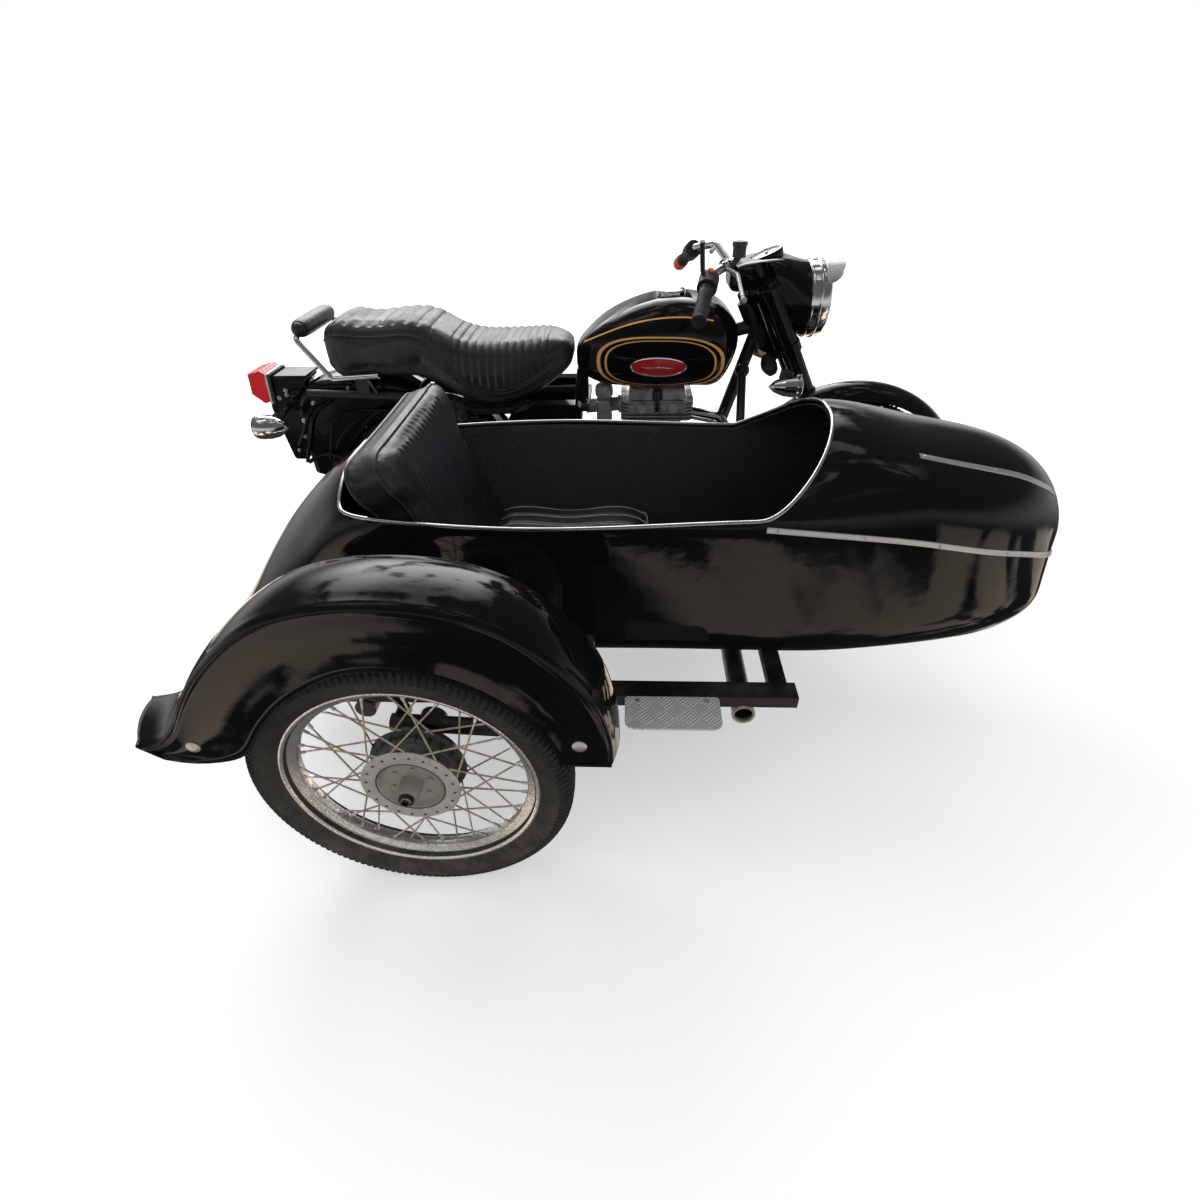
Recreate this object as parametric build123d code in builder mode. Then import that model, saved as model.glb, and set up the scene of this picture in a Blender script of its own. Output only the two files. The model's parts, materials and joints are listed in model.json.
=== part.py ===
"""Sidecar motorcycle: a single-cylinder motorcycle with a one-seat sidecar on its right side.

Millimetres, +X forward, +Y left, +Z up, with the ground at z = 0 and the origin in the middle
of the outfit's footprint. Places on the machine are given as forward (from the rear axle),
left (from the motorcycle's middle plane) and up, and on_bike turns them into the part's frame.
"""

import os
from math import asin, cos, radians, sin, tan

from build123d import *

os.makedirs("parts", exist_ok=True)

# ---------------------------------------------------------------- driving dimensions
REAR_AXLE_X = -585.0  # the rear axle in the part's frame
BIKE_Y = 450.0  # the motorcycle's middle plane in the part's frame
WHEELBASE = 1385.0
TRACK = 1230.0  # from the motorcycle's middle plane to the sidecar wheel's
SIDECAR_WHEEL_LEAD = 246.0  # how far the sidecar wheel stands ahead of the rear axle
BODY_OFFSET = 683.0  # from the motorcycle's middle plane to the sidecar body's

TYRE_RADIUS = 320.0
TYRE_HALF_WIDTH = 44.0
SHOULDER_DROP = 12.0  # from the crown down to the shoulder
RIM_RADIUS = 254.0  # over the rim's lips
RIM_HALF_WIDTH = 30.0
RIM_WALL = 3.0
LIP_HEIGHT = 11.0  # from the bead seat to the lip
WELL_DEPTH = 13.0
SEAT_GAP = 0.3  # between a tyre and its rim

SPOKES_PER_SIDE = 20
SPOKE_RADIUS = 1.9
SPOKE_SWEEP = 36.0  # degrees that a spoke leans round the wheel
SPOKE_ROOT = 3.0  # how deep a spoke's end stands in the hub and in the rim
HUB_FLANGE_RADIUS = 98.0
HUB_DRUM_RADIUS = 84.0
HUB_HALF_WIDTH = 31.0
HUB_FLANGE = 5.0
HUB_RECESS_RADIUS = 66.0
HUB_RECESS = 12.0
HUB_BOSS_RADIUS = 22.0
HUB_BOSS_HALF = 44.0
AXLE_RADIUS = 8.0
AXLE_GAP = 0.3

RAKE = 27.0  # degrees that the steering axis leans back
FORK_OFFSET = 60.0  # from the steering axis forward to the fork legs
FORK_HALF_SPREAD = 100.0
FORK_SHROUD_RADIUS = 27.0
FORK_SLIDER_RADIUS = 23.0
FORK_TOP = 1000.0
SHROUD_BOTTOM = 690.0
HEAD_LOW = 812.0
HEAD_HIGH = 935.0
HEAD_RADIUS = 27.0
STEM_RADIUS = 14.0
STEM_GAP = 0.4
YOKE_THICKNESS = 24.0
YOKE_GAP = 1.0
YOKE_BOSS_RADIUS = 18.0

BAR_RADIUS = 11.0
GRIP_RADIUS = 16.5
GRIP_LENGTH = 125.0

LAMP_HEIGHT = 939.0
LAMP_RADIUS = 100.0
LAMP_BACK = 1168.0
LAMP_RIM_DEPTH = 54.0

RAIL_WIDTH = 50.0
RAIL_HEIGHT = 30.0
RAIL_TOP = 325.0
OUTER_RAIL = -984.0
INNER_RAIL = -400.0
RAIL_REAR = -120.0
RAIL_FRONT = 1047.0
CROSS_TUBE_RADIUS = 25.0
CROSS_TUBE_HEIGHT = RAIL_TOP - RAIL_HEIGHT - CROSS_TUBE_RADIUS + 4
CROSS_BORE_RADIUS = 21.0
CROSS_BORE_LENGTH = 60.0
FRONT_CROSS = 930.0
REAR_CROSS = 60.0

BODY_WALL = 5.0
LINING = 4.0
SKIN_GAP = 0.3
COCKPIT_SILL = 728.0
COCKPIT_REAR = 70.0
COCKPIT_FRONT = 935.0
SCUTTLE_BEND = (1016.0, 782.0)
SCUTTLE_FORWARD = 1090.0
SCUTTLE_TOP = 866.0
COAMING_BEAD = 5.0

GUARD_OUTER = -1310.0  # the sidecar mudguard's outer side
GUARD_INNER = -1165.0
GUARD_WALL = 4.0

SPOKE_TURN = 360.0 / SPOKES_PER_SIDE
SEAT_RADIUS = RIM_RADIUS - LIP_HEIGHT
WELL_RADIUS = SEAT_RADIUS - WELL_DEPTH
SHOULDER_RADIUS = TYRE_RADIUS - SHOULDER_DROP


# ---------------------------------------------------------------- places and planes
def on_bike(forward, left, up):
    """A place on the machine, in the part's frame."""
    return Vector(REAR_AXLE_X + forward, BIKE_Y + left, up)


def side_plane(left=0.0):
    """An upright plane seen from the right: local x is forward, local y is up."""
    return Plane(origin=on_bike(0, left, 0), x_dir=(1, 0, 0), z_dir=(0, -1, 0))


def cross_plane(forward, left=0.0):
    """An upright plane across the machine: local x is left, local y is up."""
    return Plane(origin=on_bike(forward, left, 0), x_dir=(0, 1, 0), z_dir=(1, 0, 0))


def wheel_section(centre, angle=0.0):
    """The plane of a wheel's section at an angle: local x is the radius, local y is left."""
    turn = radians(angle)
    return Plane(
        origin=centre, x_dir=(cos(turn), 0, sin(turn)), z_dir=(-sin(turn), 0, cos(turn))
    )


FRONT_AXLE = on_bike(WHEELBASE, 0, TYRE_RADIUS)
REAR_AXLE = on_bike(0, 0, TYRE_RADIUS)
SIDECAR_AXLE = on_bike(SIDECAR_WHEEL_LEAD, -TRACK, TYRE_RADIUS)
STEER_UP = Vector(-sin(radians(RAKE)), 0, cos(radians(RAKE)))
STEER_FORWARD = Vector(cos(radians(RAKE)), 0, sin(radians(RAKE)))


def fork_point(up, left):
    """The place on a fork leg's middle line at a height."""
    return Vector(
        FRONT_AXLE.X - (up - TYRE_RADIUS) * tan(radians(RAKE)), BIKE_Y + left, up
    )


def steer_point(up):
    """The place on the steering axis at a height."""
    foot = FRONT_AXLE - STEER_FORWARD * FORK_OFFSET
    return Vector(foot.X - (up - foot.Z) * tan(radians(RAKE)), BIKE_Y, up)


# ---------------------------------------------------------------- ways of making things
def bar(points, radius, bend=None, mode=Mode.ADD):
    """A round bar along straight runs, its corners rounded to the bend radius."""
    with BuildLine() as path:
        if bend:
            FilletPolyline(*points, radius=bend)
        else:
            Line(*points)
    wire = path.wires()[0]
    with BuildSketch(Plane(origin=wire @ 0, z_dir=wire % 0)) as section:
        Circle(radius)
    sweep(sections=section.sketch, path=wire, mode=mode)


def plate(outline, left, thickness, bend=None, mode=Mode.ADD):
    """An upright plate from a side outline, as thick on each side of its middle plane."""
    with BuildSketch(side_plane(left)) as face:
        with BuildLine():
            if bend:
                FilletPolyline(*outline, radius=bend, close=True)
            else:
                Polyline(*outline, close=True)
        make_face()
    extrude(face.sketch, amount=thickness / 2, both=True, mode=mode)


def disc(centre, radius, low, high, mode=Mode.ADD):
    """A round disc across the machine, from low to high on the left side of its centre."""
    with BuildSketch(wheel_section(centre).rotated((-90, 0, 0)).offset(low)) as face:
        Circle(radius)
    extrude(face.sketch, amount=high - low, mode=mode)


def turned(centre, outline, mode=Mode.ADD, start=0.0, arc=360.0):
    """A ring turned round a wheel's axle from a section of (radius, left) corners."""
    with BuildSketch(wheel_section(centre, start)) as section:
        with BuildLine():
            Polyline(*outline, close=True)
        make_face()
    revolve(section.sketch, axis=Axis(centre, (0, -1, 0)), revolution_arc=arc, mode=mode)


def along_x(centre, outline, mode=Mode.ADD):
    """A round shape turned about a fore-and-aft line from (forward, radius) corners."""
    with BuildSketch(Plane(origin=centre, x_dir=(1, 0, 0), z_dir=(0, -1, 0))) as section:
        with BuildLine():
            Polyline(*outline, close=True)
        make_face()
    revolve(section.sketch, axis=Axis(centre, (1, 0, 0)), mode=mode)


def rounded_sections(rows, left=0.0, mode=Mode.ADD):
    """A body lofted through rounded oblongs: forward, half width, bottom, top, corner."""
    sections = []
    for forward, half_width, bottom, top, corner in rows:
        with BuildSketch(cross_plane(forward, left)) as section:
            with Locations((0, (bottom + top) / 2)):
                RectangleRounded(2 * half_width, top - bottom, corner)
        sections.append(section.sketch)
    loft(sections, mode=mode)


def keep(piece, name):
    """Label a finished piece and write it."""
    piece.part.label = name
    export_step(piece.part, f"parts/{name}.step")


# ---------------------------------------------------------------- wheels
def tyre_ring(centre):
    """A tyre: flat on the rim's seat, sides bulging to the shoulders, and a round crown."""
    bead = RIM_HALF_WIDTH - RIM_WALL - SEAT_GAP
    seat = SEAT_RADIUS + SEAT_GAP
    lip = RIM_RADIUS + SEAT_GAP
    bulge = (lip + SHOULDER_RADIUS) / 2
    shoulder = TYRE_HALF_WIDTH - 6
    with BuildSketch(wheel_section(centre)) as section:
        with BuildLine():
            Polyline((lip, -bead), (seat, -bead), (seat, bead), (lip, bead))
            ThreePointArc((lip, bead), (bulge, TYRE_HALF_WIDTH), (SHOULDER_RADIUS, shoulder))
            ThreePointArc((SHOULDER_RADIUS, shoulder), (TYRE_RADIUS, 0), (SHOULDER_RADIUS, -shoulder))
            ThreePointArc((SHOULDER_RADIUS, -shoulder), (bulge, -TYRE_HALF_WIDTH), (lip, -bead))
        make_face()
    revolve(section.sketch, axis=Axis(centre, (0, 1, 0)))


def rim_ring(centre):
    """A pressed steel rim: a lip and a bead seat on each side of a central well."""
    outer = RIM_HALF_WIDTH
    inner = outer - RIM_WALL
    half_well = 10.0
    slope = half_well + 7.0
    over = [
        (RIM_RADIUS, outer),
        (RIM_RADIUS, inner),
        (SEAT_RADIUS, inner),
        (SEAT_RADIUS, slope),
        (WELL_RADIUS, half_well),
    ]
    under = [
        (WELL_RADIUS - RIM_WALL, half_well + 1),
        (SEAT_RADIUS - RIM_WALL, slope + 1),
        (SEAT_RADIUS - RIM_WALL, outer),
    ]
    outline = over + [(r, -a) for r, a in reversed(over)]
    outline += [(r, -a) for r, a in reversed(under)] + under
    turned(centre, outline)


def spokes(centre):
    """Crossed spokes from the hub's two flanges to the rim's well."""
    hub_radius = HUB_FLANGE_RADIUS - SPOKE_ROOT
    rim_radius = WELL_RADIUS - RIM_WALL + SPOKE_ROOT / 2
    flange = HUB_HALF_WIDTH - HUB_FLANGE / 2
    planes = []
    for side in (-1, 1):
        for n in range(SPOKES_PER_SIDE):
            root = n * SPOKE_TURN + side * SPOKE_TURN / 4
            tip = root + (SPOKE_SWEEP if n % 2 else -SPOKE_SWEEP)
            start = wheel_section(centre, root).from_local_coords((hub_radius, side * flange, 0))
            end = wheel_section(centre, tip).from_local_coords((rim_radius, side * 4, 0))
            planes.append(Plane(origin=start, z_dir=end - start))
    length = (end - start).length
    with Locations(*planes):
        Cylinder(SPOKE_RADIUS, length, align=(Align.CENTER, Align.CENTER, Align.MIN))


def hub(centre, recess_side):
    """A full-width hub: a drum between two flanges, with a recess on one face and a boss."""
    face = HUB_HALF_WIDTH
    turned(
        centre,
        [
            (0, -HUB_BOSS_HALF),
            (HUB_BOSS_RADIUS, -HUB_BOSS_HALF),
            (HUB_BOSS_RADIUS, -face),
            (HUB_FLANGE_RADIUS, -face),
            (HUB_FLANGE_RADIUS, -face + HUB_FLANGE),
            (HUB_DRUM_RADIUS, -face + HUB_FLANGE),
            (HUB_DRUM_RADIUS, face - HUB_FLANGE),
            (HUB_FLANGE_RADIUS, face - HUB_FLANGE),
            (HUB_FLANGE_RADIUS, face),
            (HUB_BOSS_RADIUS, face),
            (HUB_BOSS_RADIUS, HUB_BOSS_HALF),
            (0, HUB_BOSS_HALF),
        ],
    )
    turned(
        centre,
        [
            (HUB_BOSS_RADIUS, recess_side * face),
            (HUB_RECESS_RADIUS, recess_side * face),
            (HUB_RECESS_RADIUS - 6, recess_side * (face - HUB_RECESS)),
            (HUB_BOSS_RADIUS, recess_side * (face - HUB_RECESS)),
        ],
        mode=Mode.SUBTRACT,
    )


BRAKE_DISC_RADIUS = 140.0
BRAKE_DISC_FACE = 60.0  # the disc's inner face, right of the front wheel's middle
BRAKE_DISC = 5.0
SPROCKET_RADIUS = 88.0
SPROCKET_FACE = 60.0
SPROCKET = 6.0
SPROCKET_TEETH = 38
CHAIN_LINE = SPROCKET_FACE + SPROCKET / 2

with BuildPart() as front_tyre:
    tyre_ring(FRONT_AXLE)
keep(front_tyre, "front_tyre")

with BuildPart() as front_wheel:
    rim_ring(FRONT_AXLE)
    hub(FRONT_AXLE, recess_side=1)
    spokes(FRONT_AXLE)
    turned(
        FRONT_AXLE,
        [
            (HUB_RECESS_RADIUS, -BRAKE_DISC_FACE),
            (BRAKE_DISC_RADIUS, -BRAKE_DISC_FACE),
            (BRAKE_DISC_RADIUS, -BRAKE_DISC_FACE - BRAKE_DISC),
            (HUB_BOSS_RADIUS, -BRAKE_DISC_FACE - BRAKE_DISC),
            (HUB_BOSS_RADIUS, -HUB_BOSS_HALF),
            (HUB_RECESS_RADIUS, -HUB_BOSS_HALF),
        ],
    )
    disc(FRONT_AXLE, HUB_RECESS_RADIUS, -HUB_BOSS_HALF, -HUB_HALF_WIDTH)
    disc(FRONT_AXLE, AXLE_RADIUS + AXLE_GAP, -FORK_HALF_SPREAD, FORK_HALF_SPREAD, Mode.SUBTRACT)
keep(front_wheel, "front_wire_wheel")

with BuildPart() as rear_tyre:
    tyre_ring(REAR_AXLE)
keep(rear_tyre, "rear_tyre")

with BuildPart() as rear_wheel:
    rim_ring(REAR_AXLE)
    hub(REAR_AXLE, recess_side=-1)
    spokes(REAR_AXLE)
    disc(REAR_AXLE, HUB_RECESS_RADIUS, HUB_HALF_WIDTH, SPROCKET_FACE)
    disc(REAR_AXLE, SPROCKET_RADIUS, SPROCKET_FACE, SPROCKET_FACE + SPROCKET)
    disc(REAR_AXLE, AXLE_RADIUS + AXLE_GAP, -FORK_HALF_SPREAD, FORK_HALF_SPREAD, Mode.SUBTRACT)
keep(rear_wheel, "rear_wire_wheel")

with BuildPart() as sidecar_tyre:
    tyre_ring(SIDECAR_AXLE)
keep(sidecar_tyre, "sidecar_tyre")

with BuildPart() as sidecar_wheel:
    rim_ring(SIDECAR_AXLE)
    hub(SIDECAR_AXLE, recess_side=-1)
    spokes(SIDECAR_AXLE)
    disc(SIDECAR_AXLE, AXLE_RADIUS + AXLE_GAP, -FORK_HALF_SPREAD, FORK_HALF_SPREAD, Mode.SUBTRACT)
keep(sidecar_wheel, "sidecar_wire_wheel")

# ---------------------------------------------------------------- fork and steering
with BuildPart() as fork:
    for side in (-1, 1):
        leg = side * FORK_HALF_SPREAD
        bar([fork_point(SHROUD_BOTTOM, leg), fork_point(FORK_TOP, leg)], FORK_SHROUD_RADIUS)
        bar([fork_point(TYRE_RADIUS, leg), fork_point(SHROUD_BOTTOM + 5, leg)], FORK_SLIDER_RADIUS)
        lug = sorted((leg - side * 22, leg + side * 22))
        disc(FRONT_AXLE, FORK_SLIDER_RADIUS, lug[0], lug[1])
    for height, upward in ((HEAD_LOW, -1), (HEAD_HIGH, 1)):
        near = steer_point(height) + STEER_UP * (upward * YOKE_GAP)
        with BuildSketch(Plane(origin=near, x_dir=(0, -upward, 0), z_dir=STEER_UP * upward)) as yoke:
            Circle(YOKE_BOSS_RADIUS)
            with Locations((-FORK_HALF_SPREAD, FORK_OFFSET), (FORK_HALF_SPREAD, FORK_OFFSET)):
                Circle(FORK_SHROUD_RADIUS + 6)
            make_hull()
        extrude(yoke.sketch, amount=YOKE_THICKNESS)
    bar([steer_point(HEAD_LOW - 10), steer_point(HEAD_HIGH + 10)], STEM_RADIUS)
    disc(FRONT_AXLE, AXLE_RADIUS, -FORK_HALF_SPREAD - 30, FORK_HALF_SPREAD + 30)
    plate([(1262, 430), (1300, 360), (1262, 330), (1215, 400)], -BRAKE_DISC_FACE - 22, 26, 12)
    plate([(1262, 430), (1350, 400), (1350, 350), (1262, 340)], -FORK_HALF_SPREAD + 18, 8, 8)
keep(fork, "fork")

NACELLE_ROWS = (  # forward, half width, bottom, top, corner radius
    (945, 48, 985, 1018, 14),
    (990, 84, 972, 1042, 30),
    (1050, 104, 958, 1052, 40),
    (1100, 104, 885, 1052, 60),
    (1135, 101, 850, 1044, 85),
    (LAMP_BACK, LAMP_RADIUS - 1, LAMP_HEIGHT - 99, LAMP_HEIGHT + 99, 98.5),
)
DIAL_RADIUS = 45.0
DIAL_TILT = 22.0
DIAL_CENTRE = on_bike(1052, 0, 1046)
DIAL_FACE = Vector(-sin(radians(DIAL_TILT)), 0, cos(radians(DIAL_TILT)))
DIAL_DEPTH = 34.0
DIAL_RISE = 14.0

BAR_POINTS = (  # forward, out from the middle, up
    (968, 0, 1012),
    (962, 90, 1016),
    (925, 175, 1060),
    (868, 240, 1042),
    (832, 400, 972),
)


def handlebar_path(grow=0.0, mode=Mode.ADD):
    """Both halves of the handlebar, from the middle out to the grips' ends."""
    right = [on_bike(f, -out, up) for f, out, up in BAR_POINTS[1:]]
    left = [on_bike(f, out, up) for f, out, up in BAR_POINTS[1:]]
    bar(list(reversed(right)) + left, BAR_RADIUS + grow, 38, mode=mode)


with BuildPart() as nacelle:
    rounded_sections(NACELLE_ROWS)
    for side in (-1, 1):
        leg = side * FORK_HALF_SPREAD
        ends = [fork_point(SHROUD_BOTTOM, leg), fork_point(FORK_TOP + 80, leg)]
        bar(ends, FORK_SHROUD_RADIUS + SKIN_GAP, mode=Mode.SUBTRACT)
    add(fork.part, mode=Mode.SUBTRACT)
    bar([steer_point(HEAD_LOW - 60), steer_point(HEAD_HIGH + 2)], HEAD_RADIUS + 6, mode=Mode.SUBTRACT)
    handlebar_path(SKIN_GAP, Mode.SUBTRACT)
    seat = Plane(origin=DIAL_CENTRE - DIAL_FACE * (DIAL_DEPTH - DIAL_RISE), z_dir=DIAL_FACE)
    with BuildSketch(seat) as pocket:
        Circle(DIAL_RADIUS + SKIN_GAP)
    extrude(pocket.sketch, amount=90, mode=Mode.SUBTRACT)
keep(nacelle, "headlamp_nacelle")

with BuildPart() as speedometer:
    with BuildSketch(seat.offset(SKIN_GAP)) as pocket:
        Circle(DIAL_RADIUS)
    extrude(pocket.sketch, amount=DIAL_DEPTH)
    rim = speedometer.edges().filter_by(GeomType.CIRCLE).sort_by(Axis.Z)[-1]
    fillet(rim, 5)
keep(speedometer, "speedometer")

LAMP_MIDDLE = on_bike(LAMP_BACK, 0, LAMP_HEIGHT)
GLASS_RADIUS = LAMP_RADIUS - 12.0
with BuildPart() as lamp_rim:
    along_x(
        LAMP_MIDDLE,
        [
            (SKIN_GAP, GLASS_RADIUS),
            (SKIN_GAP, LAMP_RADIUS + 3),
            (LAMP_RIM_DEPTH - 14, LAMP_RADIUS + 3),
            (LAMP_RIM_DEPTH, LAMP_RADIUS - 5),
            (LAMP_RIM_DEPTH, GLASS_RADIUS),
        ],
    )
    peak = Plane(origin=LAMP_MIDDLE + Vector(LAMP_RIM_DEPTH - 20, 0, 0), x_dir=(0, 1, 0), z_dir=(1, 0, 0))
    with BuildSketch(peak) as visor:
        Circle(LAMP_RADIUS + 5)
        Circle(LAMP_RADIUS + 2.5, mode=Mode.SUBTRACT)
        with Locations((0, -LAMP_RADIUS * 0.6)):
            Rectangle(4 * LAMP_RADIUS, 2 * LAMP_RADIUS + 40, mode=Mode.SUBTRACT)
    extrude(visor.sketch, amount=75)
keep(lamp_rim, "headlamp_rim")

with BuildPart() as lamp_glass:
    with BuildSketch(Plane(origin=LAMP_MIDDLE, x_dir=(1, 0, 0), z_dir=(0, -1, 0))) as section:
        with BuildLine():
            rise = 14.0
            edge = (LAMP_RIM_DEPTH - 4, GLASS_RADIUS - SKIN_GAP)
            crown = (edge[0] + rise, 0)
            bend = (edge[1] ** 2 + rise**2) / (2 * rise)
            half = asin(edge[1] / bend) / 2
            ThreePointArc(edge, (crown[0] - bend * (1 - cos(half)), bend * sin(half)), crown)
            Polyline(crown, (SKIN_GAP + 8, 0), (SKIN_GAP + 8, edge[1]), edge)
        make_face()
    revolve(section.sketch, axis=Axis(LAMP_MIDDLE, (1, 0, 0)))
keep(lamp_glass, "headlamp_glass")

with BuildPart() as handlebar:
    handlebar_path()
keep(handlebar, "handlebar")

with BuildPart() as grips:
    for side in (-1, 1):
        inner = on_bike(*[p if n != 1 else side * p for n, p in enumerate(BAR_POINTS[-2])])
        outer = on_bike(*[p if n != 1 else side * p for n, p in enumerate(BAR_POINTS[-1])])
        run = (outer - inner).normalized()
        start = outer - run * GRIP_LENGTH
        bar([start, outer + run * 6], GRIP_RADIUS)
        bar([start - run * 42, start - run * 2], GRIP_RADIUS + 9)
        bar([inner - run * 20, outer + run * SKIN_GAP], BAR_RADIUS + SKIN_GAP, mode=Mode.SUBTRACT)
keep(grips, "grips_and_switches")

with BuildPart() as levers:
    for side in (-1, 1):
        perch = on_bike(905, side * 196, 1056)
        bar([perch, on_bike(938, side * 238, 1044), on_bike(936, side * 378, 1012)], 5.0, 25)
        with Locations(on_bike(936, side * 378, 1012)):
            Sphere(8.5)
        bar([on_bike(895, side * 196, 1053), on_bike(918, side * 202, 1056)], 9.0)
    handlebar_path(SKIN_GAP, Mode.SUBTRACT)
keep(levers, "levers")

with BuildPart() as reservoir:
    with BuildSketch(Plane.XY.offset(1076)) as base:
        with Locations(tuple(on_bike(944, -188, 0))[:2]):
            Circle(17)
    extrude(base.sketch, amount=34)
    bar([on_bike(944, -188, 1078), on_bike(924, -188, 1050)], 8.0)
    bar([on_bike(858, -268, 1028), on_bike(846, -270, 1060), on_bike(838, -296, 1127)], 6.0, 12)
    handlebar_path(SKIN_GAP, Mode.SUBTRACT)
    add(grips.part, mode=Mode.SUBTRACT)
keep(reservoir, "brake_reservoir_and_mirror_stem")


def curved_guard(centre, radius, half_width, depth, wall, start, arc):
    """A mudguard turned round a wheel's axle: a round crown between two rolled sides."""
    crown, inner = radius, radius - wall
    with BuildSketch(wheel_section(centre, start)) as section:
        with BuildLine():
            ThreePointArc((crown - depth, -half_width), (crown, 0), (crown - depth, half_width))
            Line((crown - depth, half_width), (crown - depth, half_width - wall))
            ThreePointArc(
                (crown - depth, half_width - wall), (inner, 0), (crown - depth, wall - half_width)
            )
            Line((crown - depth, wall - half_width), (crown - depth, -half_width))
        make_face()
    revolve(section.sketch, axis=Axis(centre, (0, -1, 0)), revolution_arc=arc)


FRONT_GUARD_RADIUS = 378.0
FRONT_GUARD_HALF = 64.0
with BuildPart() as front_mudguard:
    curved_guard(FRONT_AXLE, FRONT_GUARD_RADIUS, FRONT_GUARD_HALF, 42, 3, 43, 150)
    for side in (-1, 1):
        for angle in (60, 168):
            turn = radians(angle)
            rim_point = FRONT_AXLE + Vector(
                cos(turn) * (FRONT_GUARD_RADIUS - 38),
                side * (FRONT_GUARD_HALF - 1),
                sin(turn) * (FRONT_GUARD_RADIUS - 38),
            )
            lug_point = FRONT_AXLE + Vector(cos(turn) * 16, side * (FORK_HALF_SPREAD + 24), sin(turn) * 16)
            bar([rim_point, lug_point], 4.5)
    add(fork.part, mode=Mode.SUBTRACT)
keep(front_mudguard, "front_mudguard")


def bullet_lamp(tip, length, radius, facing, mode=Mode.ADD):
    """A bullet-shaped lamp body along X whose flat lens end faces the given way."""
    along_x(
        tip,
        [
            (0, 0),
            (0, radius * 0.9),
            (-facing * 12, radius),
            (-facing * length * 0.5, radius * 0.86),
            (-facing * length * 0.82, radius * 0.5),
            (-facing * length, 0),
        ],
        mode,
    )


with BuildPart() as front_indicators:
    for side in (-1, 1):
        bullet_lamp(on_bike(1150, side * 185, 744), 88, 31, 1)
        bar([on_bike(1112, side * 170, 744), on_bike(1162, side * 110, 752)], 9.0)
    add(fork.part, mode=Mode.SUBTRACT)
keep(front_indicators, "front_indicators")

# ---------------------------------------------------------------- motorcycle frame
TUBE = 17.0
RAIL_HALF = 92.0
PIVOT_FORWARD = 430.0
PIVOT_UP = 335.0
SWINGARM_HALF = 115.0
DOWNTUBE_FOOT = 300.0
DOWNTUBE_X = 930.0
STAND_HALF = 128.0
STAND_FORWARD = 455.0
STAND_UP = 215.0
STAND_PIN = 9.0
SHOCK_TOP = (40.0, 640.0)
SHOCK_FOOT = (-8.0, 352.0)
SHOCK_HALF = 146.0
REAR_GUARD_HALF = 72.0
SEAT_PAD_TOP = 764.0
SIDE_BOX_INNER = 108.0
TUNNEL_BACK = 792.0  # the roof of the tank's tunnel, at its rear end
TUNNEL_SLOPE = 116.0 / 660.0
TANK_PADS = ((585, 625), (880, 920))

with BuildPart() as bike_frame:
    bar([steer_point(HEAD_LOW), steer_point(HEAD_HIGH)], HEAD_RADIUS)
    bar([steer_point(868), on_bike(520, 0, 742)], TUBE + 3)
    bar([steer_point(856), on_bike(940, 0, 500), on_bike(DOWNTUBE_X, 0, DOWNTUBE_FOOT)], TUBE + 2, 90)
    bar([on_bike(520, 0, 746), on_bike(472, 0, 420)], TUBE)
    with Locations(on_bike(472, 0, 440)):
        Box(60, 2 * RAIL_HALF, 34)
    for side in (-1, 1):
        rail = side * RAIL_HALF
        seat_rail = ((540, 655), (180, 645), (40, 690), (-330, 705))
        bar([on_bike(forward, rail, up) for forward, up in seat_rail], 12.0, 80)
        bar([on_bike(478, rail, 430), on_bike(440, rail, 500), on_bike(60, rail, 672)], 12.0, 60)
        plate([(400, 470), (500, 470), (500, 190), (430, 190), (395, 300)], rail, 8)
        disc(on_bike(*SHOCK_TOP[:1], 0, SHOCK_TOP[1]), 9.0, *sorted((rail, side * (SHOCK_HALF + 24))))
        plate([(12, 700), (66, 692), (56, 622), (26, 622)], rail, 10)
        plate([(-170, 700), (-130, 700), (-130, SEAT_PAD_TOP), (-170, SEAT_PAD_TOP)], rail, 18)
        plate([(250, 640), (290, 640), (290, 690), (250, 690)], rail, 18)
        for forward in (330, 480):
            with Locations(on_bike(forward, side * (RAIL_HALF + SIDE_BOX_INNER - SKIN_GAP) / 2, 652)):
                Box(26, SIDE_BOX_INNER - SKIN_GAP - RAIL_HALF, 18)
        with Locations(on_bike(-200, side * (REAR_GUARD_HALF + RAIL_HALF) / 2, 700)):
            Box(24, RAIL_HALF - REAR_GUARD_HALF - 2 * SKIN_GAP, 16)
    with Locations(on_bike(530, 0, 655)):
        Box(24, 2 * RAIL_HALF, 20)
    with Locations(on_bike(524, 0, 700)):
        Box(26, 30, 90)
    plate([(455, 450), (500, 450), (540, 400), (540, 320), (500, 320), (455, 400)], 0, 30)
    plate([(870, 290), (870, 400), (945, 420), (945, 300)], 0, 44)
    for low, high in TANK_PADS:
        roof = [TUNNEL_BACK + (x - 440) * TUNNEL_SLOPE - SKIN_GAP for x in (low, high)]
        plate([(low, roof[0] - 60), (high, roof[1] - 60), (high, roof[1]), (low, roof[0])], 0, 50)
    disc(on_bike(PIVOT_FORWARD, 0, PIVOT_UP), 10.0, -SWINGARM_HALF - 26, SWINGARM_HALF + 26)
    disc(on_bike(STAND_FORWARD, 0, STAND_UP), STAND_PIN, -STAND_HALF - 14, STAND_HALF + 14)
    bar([steer_point(HEAD_LOW - 20), steer_point(HEAD_HIGH + 20)], STEM_RADIUS + STEM_GAP, mode=Mode.SUBTRACT)
keep(bike_frame, "bike_frame")

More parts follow.
